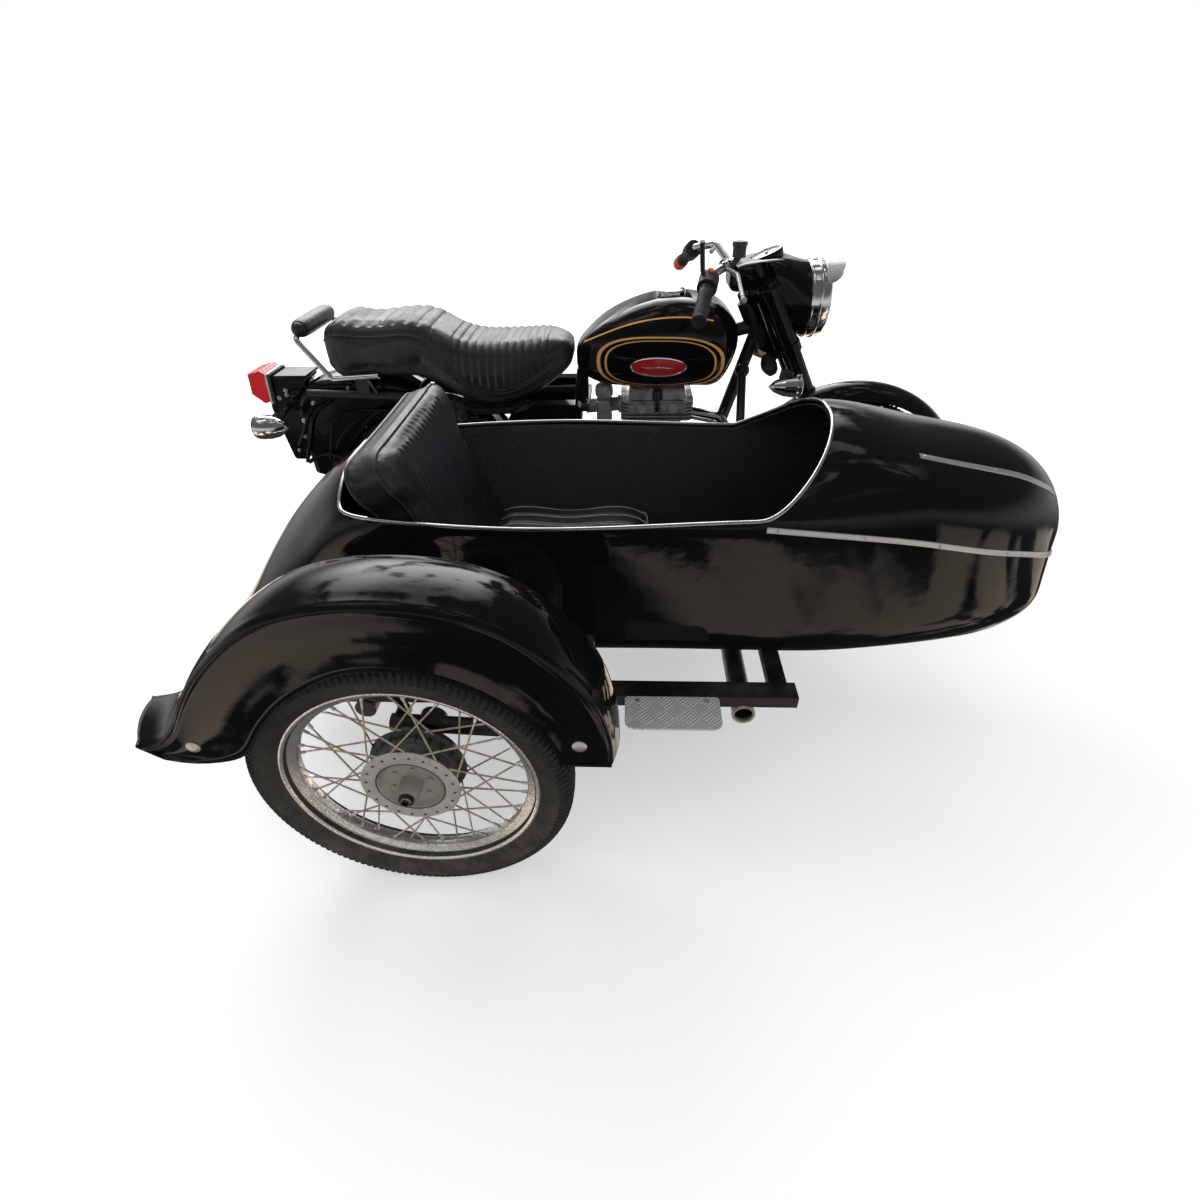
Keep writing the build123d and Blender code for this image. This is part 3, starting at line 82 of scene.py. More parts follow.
def colour(name, text, value):
    """A colour's three channels, from 0 to 1."""
    return bpy.props.FloatVectorProperty(
        name=name, description=text, default=value, min=0, max=1, size=3, subtype="COLOR"
    )


def number(name, text, value, least):
    """A whole number of repeats."""
    return bpy.props.IntProperty(name=name, description=text, default=value, min=least)


class MotorcycleSizes(bpy.types.PropertyGroup):
    """Sizes and counts of the motorcycle's own pieces."""

    tread_depth: millimetres("Tread depth", "How deep the tyres' grooves are cut", 4.5)
    piping: millimetres("Piping", "Radius of the seats' welts", 3.0)
    pleats: number("Rider's pleats", "Sewn channels across the rider's seat", 12, 4)
    ribs: number("Pillion ribs", "Sewn channels across the pillion seat", 8, 3)
    line_width: millimetres("Tank line", "Width of the tank's gold line", 3.6)


class SidecarSizes(bpy.types.PropertyGroup):
    """Sizes and counts of the sidecar's own pieces."""

    skin: millimetres("Body skin", "Thickness of the body's shell", 5.0)
    bead: millimetres("Coaming bead", "Radius of the bead round the cockpit", 4.2)
    strip: millimetres("Trim strip", "Width of the riveted trim strips", 13.0)
    back_pleats: number("Back pleats", "Upright sewn channels in the seat back", 14, 4)
    cushion_pipes: number("Cushion pipes", "Fore-and-aft piping lines on the cushion", 8, 3)
    guard_wall: millimetres("Mudguard sheet", "Thickness of the sidecar mudguard", 3.5)


class Colours(bpy.types.PropertyGroup):
    """Colours of the outfit's finishes."""

    paint: colour("Paint", "Gloss paint of the body, tank and mudguards", (0.004, 0.004, 0.0045))
    frame_paint: colour("Frame paint", "Satin paint of the chassis", (0.009, 0.009, 0.0095))
    leather: colour("Seat cover", "Leathercloth of the seats", (0.011, 0.012, 0.014))
    welt: colour("Welts", "Light piping along the cushion", (0.20, 0.205, 0.21))
    carpet: colour("Carpet", "Cockpit lining", (0.055, 0.056, 0.060))
    gold: colour("Gold line", "Lining of the tank", (0.62, 0.33, 0.10))
    lens: colour("Lens", "Tail lamp lens", (0.75, 0.01, 0.015))
    dust: colour("Road dust", "Dust on the tyres and wheels", (0.19, 0.165, 0.135))


class StageSizes(bpy.types.PropertyGroup):
    """The camera and the lights."""

    lens: bpy.props.FloatProperty(
        name="Lens", description="Focal length in millimetres", default=19.176, min=5
    )
    room: bpy.props.FloatProperty(
        name="Room light", description="Strength of the light from all round", default=0.62,
        min=0, max=4, subtype="FACTOR"
    )


# ---------------------------------------------------------------- shader expressions
class Wire:
    """A node's output socket that can be written in sums, products and comparisons."""

    def __init__(self, tree, socket):
        self.tree, self.socket = tree, socket

    def _maths(self, operation, *others, flip=False):
        node = self.tree.nodes.new("ShaderNodeMath")
        node.operation = operation
        values = (*others, self) if flip else (self, *others)
        for socket, value in zip(node.inputs, values):
            plug(self.tree, socket, value)
        return Wire(self.tree, node.outputs[0])

    __add__ = __radd__ = partialmethod(_maths, "ADD")
    __sub__ = partialmethod(_maths, "SUBTRACT")
    __rsub__ = partialmethod(_maths, "SUBTRACT", flip=True)
    __mul__ = __rmul__ = partialmethod(_maths, "MULTIPLY")
    __truediv__ = partialmethod(_maths, "DIVIDE")
    __pow__ = partialmethod(_maths, "POWER")
    __gt__ = partialmethod(_maths, "GREATER_THAN")
    __lt__ = partialmethod(_maths, "LESS_THAN")
    __abs__ = partialmethod(_maths, "ABSOLUTE")
    most = partialmethod(_maths, "MAXIMUM")
    modulo = partialmethod(_maths, "FLOORED_MODULO")
    angle = partialmethod(_maths, "ARCTAN2")  # whose tangent is this over the other

    def wave(self, turns):
        """A sine wave of that many radians for each unit."""
        return (self * turns)._maths("SINE")

    def between(self, low, high):
        """0 below low, 1 above high and a smooth rise between."""
        node = self.tree.nodes.new("ShaderNodeMapRange")
        node.interpolation_type = "SMOOTHSTEP"
        for socket, value in zip(node.inputs, (self, low, high, 0.0, 1.0)):
            plug(self.tree, socket, value)
        return Wire(self.tree, node.outputs[0])


def plug(tree, socket, value):
    """Links a wire to a socket, or sets the socket's own number or colour."""
    if isinstance(value, Wire):
        tree.links.new(value.socket, socket)
    elif hasattr(socket.default_value, "__len__") and len(socket.default_value) == 4 and len(value) == 3:
        socket.default_value = (*value, 1.0)
    else:
        socket.default_value = value


RGBA_LOW, RGBA_HIGH, RGBA_RESULT = 6, 7, 2  # a colour mix's sockets, which share their names with others


def blend(tree, mask, low, high):
    """A colour between two, by a mask."""
    node = tree.nodes.new("ShaderNodeMix")
    node.data_type = "RGBA"
    plug(tree, node.inputs[0], mask)
    plug(tree, node.inputs[RGBA_LOW], low)
    plug(tree, node.inputs[RGBA_HIGH], high)
    return Wire(tree, node.outputs[RGBA_RESULT])


class Finish:
    """One material under construction, with short names for its nodes."""

    def __init__(self, name, tone=(0.5, 0.5, 0.5)):
        self.material = bpy.data.materials.new(name)
        self.material.use_nodes = True
        self.tree = self.material.node_tree
        self.surface = self.tree.nodes["Principled BSDF"]
        self.material.diffuse_color = (*tone, 1.0)

    def node(self, kind, settings=None, sockets=None, output=0):
        """A node of a kind, with its settings and then its sockets' values or links."""
        node = self.tree.nodes.new(kind)
        for key, value in (settings or {}).items():
            setattr(node, key, value)
        for key, value in (sockets or {}).items():
            plug(self.tree, node.inputs[key], value)
        return Wire(self.tree, node.outputs[output])

    def place(self):
        """Where a point is, in metres."""
        return self.node("ShaderNodeTexCoord", output="Object")

    def split(self, vector):
        """A vector's three parts."""
        node = self.tree.nodes.new("ShaderNodeSeparateXYZ")
        plug(self.tree, node.inputs[0], vector)
        return [Wire(self.tree, s) for s in node.outputs]

    def scaled(self, vector, scale, spin=(0, 0, 0)):
        """A vector with each part scaled, then turned."""
        sockets = {"Vector": vector, "Scale": scale, "Rotation": spin}
        return self.node("ShaderNodeMapping", sockets=sockets)

    def noise(self, vector, scale, detail=3.0, rough=0.5, warp=0.0):
        """Cloudy noise from 0 to 1: its scale is how many blobs there are to a metre."""
        sockets = {"Vector": vector, "Scale": scale, "Detail": detail, "Roughness": rough, "Distortion": warp}
        return self.node("ShaderNodeTexNoise", sockets=sockets)

    def cells(self, vector, scale):
        """How far a place is from the nearest of many scattered points."""
        return self.node("ShaderNodeTexVoronoi", sockets={"Vector": vector, "Scale": scale})

    def mix(self, mask, low, high):
        """A colour between two, by a mask."""
        return blend(self.tree, mask, low, high)

    def bump(self, height, strength, distance, under=None):
        """A surface direction from a height, which may lie over another bump."""
        sockets = {"Height": height, "Strength": strength, "Distance": distance}
        if under is not None:
            sockets["Normal"] = under
        return self.node("ShaderNodeBump", sockets=sockets)

    def set(self, **values):
        """Sets the surface shader's sockets; underscores stand for spaces."""
        for key, value in values.items():
            plug(self.tree, self.surface.inputs[key.replace("_", " ")], value)
        return self


# ---------------------------------------------------------------- finishes
def tones():
    """The outfit's colours."""
    return bpy.context.scene.outfit_colours


def gloss_paint(name="gloss_paint", line=None):
    """Brushed-on gloss enamel: faint long waves, fine dust specks and a thin film of dust."""
    f = Finish(name)
    p = f.place()
    waves = f.noise(p, 9.0, 2.0)
    ripple = f.noise(p, 70.0, 2.0)
    specks = f.cells(p, 260.0).between(0.10, 0.03) * f.noise(p, 16.0).between(0.45, 0.62)
    film = f.noise(p, 3.2, 5.0, 0.6).between(0.42, 0.75)
    base = f.mix(specks * 0.10 + film * 0.012, tones().paint, tones().dust)
    if line is not None:
        mask = line(f, p)
        base = f.mix(mask, base, tones().gold)
    rough = 0.045 + film * 0.05 + specks * 0.2
    normal = f.bump(waves * 0.9 + ripple * 0.06, 0.05, 0.02)
    return f.set(Base_Color=base, Roughness=rough, Normal=normal, IOR=1.28)


def frame_paint():
    """Satin chassis paint, rubbed grey along edges and dusty on top faces."""
    f = Finish("frame_paint")
    p = f.place()
    up = f.split(f.node("ShaderNodeNewGeometry", output="Normal"))[2]
    grime = f.noise(p, 7.0, 6.0, 0.65).between(0.4, 0.7)
    chips = f.noise(p, 60.0, 4.0, 0.7).between(0.66, 0.72)
    dust = up.between(0.2, 1.0) * grime
    base = f.mix(dust * 0.22 + chips * 0.06, tones().frame_paint, tones().dust)
    normal = f.bump(f.noise(p, 160.0, 3.0), 0.12, 0.002)
    return f.set(Base_Color=base, Roughness=0.28 + grime * 0.22 + dust * 0.2, Normal=normal)


def chrome(name="chrome_plate", dirt=0.1, tint=(0.62, 0.63, 0.65)):
    """Chrome plate with smears, pits and a little brown bloom."""
    f = Finish(name)
    p = f.place()
    smear = f.noise(f.scaled(p, (1, 1, 3)), 26.0, 5.0, 0.6).between(0.4, 0.75)
    pits = f.noise(p, 420.0, 2.0).between(0.68, 0.74)
    base = f.mix((smear * 0.5 + pits) * dirt, tint, (0.16, 0.12, 0.08))
    f.set(Base_Color=base, Metallic=1.0, Roughness=0.07 + smear * (0.1 + dirt * 0.5) + pits * 0.2)
    return f.set(Normal=f.bump(f.noise(p, 45.0, 2.0), 0.06, 0.004))


def from_axle(f, p, wheel):
    """How far a place is ahead of a wheel's axle, left of it, above it, and from it: the root
    of two squares."""
    ahead, left, above = (axis - float(middle) for axis, middle in zip(f.split(p), at(*AXLES[wheel])))
    return ahead, left, above, (ahead * ahead + above * above) ** 0.5


def wheel_metal(wheel):
    """A wire wheel's plate: bright rim, dull dusty hub, and spokes browned by rust and dust.

    The hub has a ring of small holes and a groove, and the sidecar's has a dark recess.
    """
    f = Finish(f"wheel_metal_{wheel}")
    p = f.place()
    ahead, left, above, radius = from_axle(f, p, wheel)
    rim = radius.between(0.196, 0.212)
    hub = 1 - radius.between(0.100, 0.106)
    mottled = f.noise(p, 55.0, 5.0, 0.65).between(0.3, 0.7)
    fine = f.noise(p, 240.0, 3.0).between(0.35, 0.7)
    rust = f.mix(mottled, (0.56, 0.50, 0.41), (0.34, 0.28, 0.20))
    well = 1 - radius.between(0.231, 0.240)
    bright = f.mix(mottled * 0.30 + well * mottled * 0.25, (0.82, 0.82, 0.81), (0.36, 0.32, 0.26))
    dull = f.mix(mottled * 0.45 + fine * 0.15, (0.52, 0.51, 0.485), (0.30, 0.28, 0.25))
    # painted shade: the hub is painted darker inside its groove, where its recess is
    dull = f.mix(1 - radius.between(0.064, 0.066), dull, (0.33, 0.31, 0.28))
    # painted shade: a mask for the sidecar hub's inboard part, which is painted near-black below
    inboard_shade = left.between(-0.016, -0.012) if wheel == "sidecar" else 0.0
    holes, ring_radius, hole_radius = 20, 0.0865, 0.0032
    past = (above.angle(ahead) * (holes / (2 * pi))).modulo(1.0) - 0.5
    aside = past * (2 * pi / holes) * radius
    outwards = radius - ring_radius
    # painted shade: the ring of holes and the groove are dark paint only, on a flat face
    hole_shade = ((aside * aside + outwards * outwards) ** 0.5 < hole_radius) * hub
    groove = (abs(radius - 0.0675) < 0.0016) * hub
    # painted shade: the sidecar hub's inboard part painted near-black
    dull = f.mix(hub * inboard_shade, dull, (0.07, 0.07, 0.072))
    # the holes and the groove go in here as near-black painted shade
    base = f.mix(hole_shade.most(groove) * 0.92, f.mix(hub, f.mix(rim, rust, bright), dull), (0.02, 0.02, 0.02))
    metal = 0.55 + rim * 0.25 - hub * 0.15
    rough = 0.42 - rim * 0.30 + mottled * 0.14 + hub * 0.05
    return f.set(Base_Color=base, Metallic=metal, Roughness=rough, Normal=f.bump(fine + mottled, 0.2, 0.001))


def cast_metal(name, tone, stain, rough=0.45):
    """Cast alloy: a fine grain, oil stains in the corners and road dust on top."""
    f = Finish(name)
    p = f.place()
    up = f.split(f.node("ShaderNodeNewGeometry", output="Normal"))[2]
    blotch = f.noise(p, 18.0, 6.0, 0.65).between(0.42, 0.68)
    grain = f.noise(p, 700.0, 2.0)
    dust = up.between(0.3, 1.0) * f.noise(p, 30.0, 4.0).between(0.35, 0.7)
    base = f.mix(blotch * stain, tone, (0.05, 0.042, 0.034))
    base = f.mix(dust * 0.35, base, tones().dust)
    f.set(Base_Color=base, Metallic=0.6, Roughness=rough + blotch * 0.2)
    return f.set(Normal=f.bump(grain + blotch, 0.25, 0.0008))


def bright_trim():
    """Rolled aluminium strip: lengthwise brushing and small dents."""
    f = Finish("bright_trim")
    p = f.place()
    brush = f.noise(f.scaled(p, (6, 900, 900)), 3.0, 3.0)
    dents = f.noise(p, 90.0, 3.0).between(0.6, 0.75)
    base = f.mix(brush.between(0.3, 0.7) * 0.35 + dents * 0.3, (0.66, 0.66, 0.65), (0.33, 0.32, 0.30))
    return f.set(Base_Color=base, Metallic=0.9, Roughness=0.3 + brush * 0.15,
                 Normal=f.bump(brush, 0.1, 0.001))


def tyre_rubber(wheel):
    """Tyre rubber: black in the grooves, greyed tread and a dusty, scuffed sidewall."""
    f = Finish(f"tyre_rubber_{wheel}")
    p = f.place()
    radius = from_axle(f, p, wheel)[3]
    wall = 1 - radius.between(0.290, 0.295)
    patch = f.noise(p, 14.0, 6.0, 0.7).between(0.35, 0.68)
    scuff = f.noise(p, 190.0, 4.0, 0.7).between(0.4, 0.7)
    groove = f.node("ShaderNodeAttribute", {"attribute_name": "groove"}, output="Fac")
    block = (1 - wall) * (1 - groove)
    splash = 1 - f.split(p)[2].between(0.06, 0.40) * 0.62
    dust = wall * (0.14 + patch * 0.5) * splash + block * 0.2 * splash + scuff * 0.10
    base = f.mix(dust, (0.007, 0.007, 0.007), (0.125, 0.113, 0.097))
    f.set(Base_Color=base, Roughness=0.62 + patch * 0.25, Normal=f.bump(scuff + patch, 0.25, 0.0012))
    return f.set(Specular_IOR_Level=0.35)


def moulded(name, tone, rough=0.5, grain=0.15):
    """Moulded rubber or plastic with a fine stipple and a trace of dust."""
    f = Finish(name)
    p = f.place()
    patch = f.noise(p, 22.0, 5.0, 0.6).between(0.4, 0.7)
    base = f.mix(patch * 0.10, tone, tones().dust)
    normal = f.bump(f.noise(p, 900.0, 2.0), grain, 0.0008)
    return f.set(Base_Color=base, Roughness=rough + patch * 0.15, Normal=normal)


def leathercloth():
    """Seat cover: pebbled grain, a soft sheen and wear on the high places."""
    f = Finish("leathercloth")
    p = f.place()
    grain = f.cells(p, 620.0).between(0.05, 0.5)
    creases = f.noise(p, 34.0, 5.0, 0.6, 0.6).between(0.35, 0.65)
    worn = f.noise(p, 9.0, 4.0).between(0.45, 0.7)
    base = f.mix(worn * 0.18 + creases * 0.05, tones().leather, (0.045, 0.046, 0.05))
    normal = f.bump(grain, 0.16, 0.0006, f.bump(creases, 0.25, 0.002))
    return f.set(Base_Color=base, Roughness=0.28 + worn * 0.14 + grain * 0.06, Normal=normal)


def welt_cord():
    """Light grey piping with tiny cross ribs."""
    f = Finish("welt_cord")
    p = f.place()
    dirt = f.noise(p, 60.0, 4.0).between(0.35, 0.7)
    base = f.mix(dirt * 0.45, tones().welt, (0.05, 0.05, 0.05))
    return f.set(Base_Color=base, Roughness=0.45, Normal=f.bump(f.noise(p, 1200.0, 2.0), 0.2, 0.0004))


def carpet():
    """Short looped carpet: fine tufts in rows, with lint and trodden patches."""
    f = Finish("cockpit_carpet")
    p = f.place()
    tufts = f.cells(p, 250.0).between(0.1, 0.6)
    fibre = f.noise(p, 1500.0, 3.0, 0.7)
    lint = f.noise(p, 380.0, 3.0, 0.8).between(0.62, 0.72)
    trodden = f.noise(p, 6.0, 4.0).between(0.4, 0.7)
    base = f.mix(fibre.between(0.35, 0.75) * 0.6 + lint * 0.4, tones().carpet, (0.135, 0.133, 0.135))
    base = f.mix(trodden * 0.25, base, (0.07, 0.07, 0.074))
    # painted shade: near-black between the tufts
    base = f.mix(tufts * 0.6, base, (0.010, 0.010, 0.011))
    normal = f.bump(tufts * -1.0 + fibre * 0.6, 0.9, 0.004)
    return f.set(Base_Color=base, Roughness=0.95, Normal=normal, Specular_IOR_Level=0.2)


def lamp_lens(name, tone):
    """Moulded lens plastic with fine ribs inside and a clear gloss over them."""
    f = Finish(name)
    p = f.place()
    _, y, z = f.split(p)
    ribs, rows = (way.wave(2 * pi / pitch) * 0.5 + 0.5 for way, pitch in ((y, 0.006), (z, 0.008)))
    shade = ribs * 0.35 + rows * 0.25
    base = f.mix(shade, tone, tuple(0.35 * c for c in tone))
    f.set(Base_Color=base, Roughness=0.12, Normal=f.bump(shade, 0.25, 0.002))
    # painted light: the lens glows faintly, though no lamp behind it is lit
    return f.set(Emission_Color=base, Emission_Strength=0.12)


def headlamp_glass():
    """Fluted lamp glass: upright flutes bend what lies behind, with a thin film of dust."""
    f = Finish("headlamp_flutes")
    p = f.place()
    flute = 0.011
    flutes = abs(f.split(p)[1].wave(pi / flute))
    film = f.noise(p, 30.0, 4.0).between(0.4, 0.75)
    f.set(Base_Color=f.mix(film * 0.2, (0.93, 0.95, 0.96), (0.6, 0.58, 0.54)), Roughness=0.03 + film * 0.07)
    return f.set(Normal=f.bump(flutes, 0.6, 0.003), Transmission_Weight=1.0, IOR=1.45)


def chequer_plate():
    """Aluminium tread plate: raised bars in fives that turn a quarter from square to square."""
    f = Finish("chequer_plate")
    p = f.place()
    x, y, _ = f.split(f.scaled(p, (1, 1, 1), (0, 0, radians(45))))
    cell = 0.034
    u, v = x / cell, y / cell
    fu, fv = u.modulo(1.0), v.modulo(1.0)
    odd = ((u - fu) + (v - fv)).modulo(2.0)
    across = fu + odd * (fv - fu)
    along = fv + odd * (fu - fv)
    aside, onwards = abs(across.modulo(0.2) - 0.1), abs(along - 0.5)
    bars = (aside < 0.052) * (onwards < 0.43)
    soft = (1 - aside / 0.06).most(0.0) * (1 - (onwards / 0.46) ** 6.0).most(0.0)
    scratch = f.noise(f.scaled(p, (20, 260, 1)), 6.0, 4.0).between(0.45, 0.7)
    grime = f.noise(p, 20.0, 5.0, 0.6).between(0.4, 0.7) * (1 - bars)
    base = f.mix(grime * 0.35 + scratch * 0.12, (0.58, 0.60, 0.62), (0.3, 0.3, 0.3))
    base = f.mix(bars * 0.8, base, (0.92, 0.93, 0.94))
    f.set(Base_Color=base, Metallic=0.25, Roughness=0.30 + scratch * 0.2 + grime * 0.2)
    return f.set(Normal=f.bump(soft, 1.0, 0.0026))


def plywood():
    """Plywood board: long grain and darker end streaks."""
    f = Finish("plywood")
    p = f.place()
    grain = f.noise(f.scaled(p, (2, 40, 40)), 6.0, 6.0, 0.6, 0.8)
    base = f.mix(grain.between(0.3, 0.7), (0.16, 0.10, 0.055), (0.07, 0.042, 0.022))
    return f.set(Base_Color=base, Roughness=0.7, Normal=f.bump(grain, 0.3, 0.001))


FINISHES = {}


def finish(name):
    """The material of that name, made when it is first asked for."""
    if name not in FINISHES:
        FINISHES[name] = MAKERS[name]().material
    return FINISHES[name]


# ---------------------------------------------------------------- places, paths and surfaces
def at(forward, left, up):
    """Places on the machine: millimetres from the ground under the rear axle, to metres."""
    parts = np.broadcast_arrays(*(np.asarray(v, float) for v in (forward, left, up)))
    return np.stack([REAR_AXLE_X + parts[0], BIKE_Y + parts[1], parts[2]], -1) / 1000


def spline(x, y, q):
    """Natural cubic spline: the curve through (x, y) whose bending is zero at both ends."""
    x, y, q = np.asarray(x, float), np.asarray(y, float), np.asarray(q, float)
    flat = y.reshape(len(x), -1)
    gap, rise = np.diff(x), np.diff(flat, axis=0)
    rows = np.zeros((len(x), len(x)))
    right = np.zeros_like(flat)
    rows[0, 0] = rows[-1, -1] = 1.0
    inner = np.arange(1, len(x) - 1)
    rows[inner, inner - 1], rows[inner, inner], rows[inner, inner + 1] = (
        gap[:-1], 2 * (gap[:-1] + gap[1:]), gap[1:],
    )
    right[1:-1] = 6 * (rise[1:] / gap[1:, None] - rise[:-1] / gap[:-1, None])
    bend = np.linalg.solve(rows, right)
    i = np.clip(np.searchsorted(x, q) - 1, 0, len(gap) - 1)
    h = gap[i][:, None]
    a, b = (x[i + 1] - q)[:, None] / h, (q - x[i])[:, None] / h
    cubic = ((a**3 - a) * bend[i] + (b**3 - b) * bend[i + 1]) * h**2 / 6
    return (a * flat[i] + b * flat[i + 1] + cubic).reshape(len(q), *y.shape[1:])


def distances(points):
    """How far along a path each of its points lies."""
    return np.concatenate([[0], np.cumsum(np.linalg.norm(np.diff(points, axis=0), axis=1))])


def through(points, count):
    """A smooth path of a number of points through a few, spaced by their distances."""
    points = np.asarray(points, float)
    steps = distances(points)
    return spline(steps, points, np.linspace(0, steps[-1], count))


def rounded(points, bend, count=8, closed=False):
    """Straight runs whose corners are replaced by parabolas that start a bend's length away."""
    points = np.asarray(points, float)
    before, after = np.roll(points, 1, 0), np.roll(points, -1, 0)
    bend = np.broadcast_to(np.asarray(bend, float), len(points))[:, None]
    back, on = before - points, after - points
    reach = [np.linalg.norm(v, axis=1, keepdims=True) for v in (back, on)]
    cut = [np.minimum(bend, r * 0.499) / np.maximum(r, 1e-9) for r in reach]
    start, end = points + back * cut[0], points + on * cut[1]
    t = np.linspace(0, 1, count)[None, :, None]
    arcs = (1 - t) ** 2 * start[:, None] + 2 * t * (1 - t) * points[:, None] + t**2 * end[:, None]
    if closed:
        return arcs.reshape(-1, points.shape[1])
    inside = arcs[1:-1].reshape(-1, points.shape[1])
    return np.concatenate([points[:1], inside, points[-1:]])


def even(points, count, closed=False):
    """The same path, resampled at equal distances."""
    points = np.asarray(points, float)
    if closed:
        points = np.concatenate([points, points[:1]])
    steps = distances(points)
    wanted = np.linspace(0, steps[-1], count, endpoint=not closed)
    return np.stack([np.interp(wanted, steps, axis) for axis in points.T], -1)


def calm(path, rounds=4):
    """A closed path with its small steps averaged away."""
    for _ in range(rounds):
        path = path * 0.5 + 0.25 * (np.roll(path, 1, 0) + np.roll(path, -1, 0))
    return path


def sheet(points, wrap_u=False, wrap_v=False):
    """A grid of points (rows, columns, 3) as vertices and four-sided faces."""
    rows, columns = points.shape[:2]
    number = np.arange(rows * columns).reshape(rows, columns)
    if wrap_u:
        number = np.concatenate([number, number[:1]])
    if wrap_v:
        number = np.concatenate([number, number[:, :1]], 1)
    faces = np.stack([number[:-1, :-1], number[1:, :-1], number[1:, 1:], number[:-1, 1:]], -1)
    return points.reshape(-1, 3), faces.reshape(-1, 4)


def sides_of(path, closed=False, upright=None):
    """Two unit vectors square to a path at each point: the first lies nearest an upright."""
    path = np.asarray(path, float)
    if closed:
        run = np.roll(path, -1, 0) - np.roll(path, 1, 0)
    else:
        run = np.gradient(path, axis=0)
    run /= np.maximum(np.linalg.norm(run, axis=1, keepdims=True), 1e-12)
    if upright is None:
        upright = np.eye(3)[np.abs(run).max(0).argmin()]
    first = upright - run * (run * upright).sum(1)[:, None]
    first /= np.maximum(np.linalg.norm(first, axis=1, keepdims=True), 1e-12)
    return first, np.cross(run, first)


def carried(path, section, closed=False, upright=None, size=1.0):
    """A closed section of (first, second) offsets carried along a path, its ends closed.

    Each point is the path's own plus the section's two offsets along the path's two sides.
    """
    path, section = np.asarray(path, float), np.asarray(section, float)
    first, second = sides_of(path, closed, upright)
    size = np.broadcast_to(np.asarray(size, float), len(path))[:, None, None]
    offset = section[None, :, :1] * first[:, None] + section[None, :, 1:] * second[:, None]
    points = path[:, None] + size * offset
    if not closed:
        caps = [np.repeat(points[k].mean(0)[None], len(section), 0) for k in (0, -1)]
        points = np.concatenate([caps[0][None], points, caps[1][None]])
    return sheet(points, closed, True)


def ring(radius, sides):
    """A circle's offsets."""
    turn = np.linspace(0, 2 * pi, sides, endpoint=False)
    return np.stack([np.cos(turn), np.sin(turn)], -1) * radius


def tube(path, radius, sides=16, closed=False, size=1.0):
    """A round tube along a path: a circle carried along it."""
    return carried(path, ring(radius, sides), closed, size=size)


def lathe(outline, centre, axis=(0, 1, 0), sides=96, arc=(0, 2 * pi)):
    """A shape turned about an axis from its (along, radius) outline, both in metres."""
    outline = np.asarray(outline, float)
    axis = np.asarray(axis, float) / np.linalg.norm(axis)
    first = np.cross(axis, (0, 0, 1) if abs(axis[2]) < 0.9 else (1, 0, 0))
    first /= np.linalg.norm(first)
    second = np.cross(axis, first)
    whole = arc[1] - arc[0] > 2 * pi - 1e-6
    turn = np.linspace(*arc, sides, endpoint=not whole)
    spoke = np.cos(turn)[:, None] * first + np.sin(turn)[:, None] * second
    points = (
        np.asarray(centre, float) + outline[None, :, :1] * axis + outline[None, :, 1:] * spoke[:, None]
    )
    return sheet(points, whole, False)


def slab(outline, low, high, bevel=0.0):
    """A plate: a closed outline (n, 3) moved from low to high offsets, its edges bevelled.

    Rings shrink towards the outline's middle by the bevel and close on the middle itself.
    """
    outline = np.asarray(outline, float)
    middle = outline.mean(0)
    out = outline - middle
    reach = np.linalg.norm(out, axis=1, keepdims=True)
    small = middle + out * (1 - bevel / np.maximum(reach, 1e-9))
    low, high = np.asarray(low, float), np.asarray(high, float)
    step = (high - low) / max(np.linalg.norm(high - low), 1e-9) * bevel
    dot = np.repeat(middle[None], len(outline), 0)
    rings = [dot + low, small + low, outline + low + step, outline + high - step, small + high, dot + high]
    return sheet(np.stack(rings), False, True)


FORWARD = (1, 0, 0)
NEARLY_0 = 0.01  # a radius that closes an outline on its axis


def turned(outline, centre, axis=(0, 1, 0), sides=48):
    """A part turned about an axis through a place, from (along, radius) in millimetres."""
    return lathe(np.asarray(outline, float) / 1000, at(*centre), axis, sides)


def bolt_head(outline, axis, sides):
    """A small turned part at the origin, to be copied, from (along, radius) in millimetres."""
    return lathe(np.asarray(outline, float) / 1000, (0, 0, 0), axis, sides)


def domes(places, radius, axis=(0, -1, 0), tall=0.7):
    """Round bolt heads: a collar under half a ball, flattened."""
    outline = [(-0.3, 0), (-0.3, 1.35), (0, 1.35), (0, 1), (tall * 0.6, 0.82), (tall, 0.4), (tall, 0)]
    return copies(bolt_head(np.array(outline) * radius, axis, 14), at(*np.asarray(places, float).T))


def pipe(places, radius, count=60, sides=12):
    """A round rod through places on the machine."""
    return tube(at(*through(places, count).T), radius / 1000, sides)


def plate(corners, low, high, corner=6.0, bevel=2.0, count=7):
    """A level plate between two heights: its corners rounded and its rims bevelled."""
    outline = rounded(corners, corner, count, True)
    outline = at(outline[:, 0], outline[:, 1], 0 * outline[:, 0])
    return slab(outline, (0, 0, low / 1000), (0, 0, high / 1000), bevel / 1000)


def boxed(low, high, corner=6.0, bevel=2.0):
    """A block between two opposite corners."""
    (a, b, c), (d, e, g) = low, high
    return plate([(a, b), (d, b), (d, e), (a, e)], c, g, corner, bevel)


def both(make):
    """The same part on the right, then on the left."""
    return [make(side) for side in (-1, 1)]


def join(shapes):
    """Several shapes' vertices and faces as one."""
    vertices, faces, start = [], [], 0
    for points, quads in shapes:
        vertices.append(points)
        faces.append(quads + start)
        start += len(points)
    return np.concatenate(vertices), np.concatenate(faces)


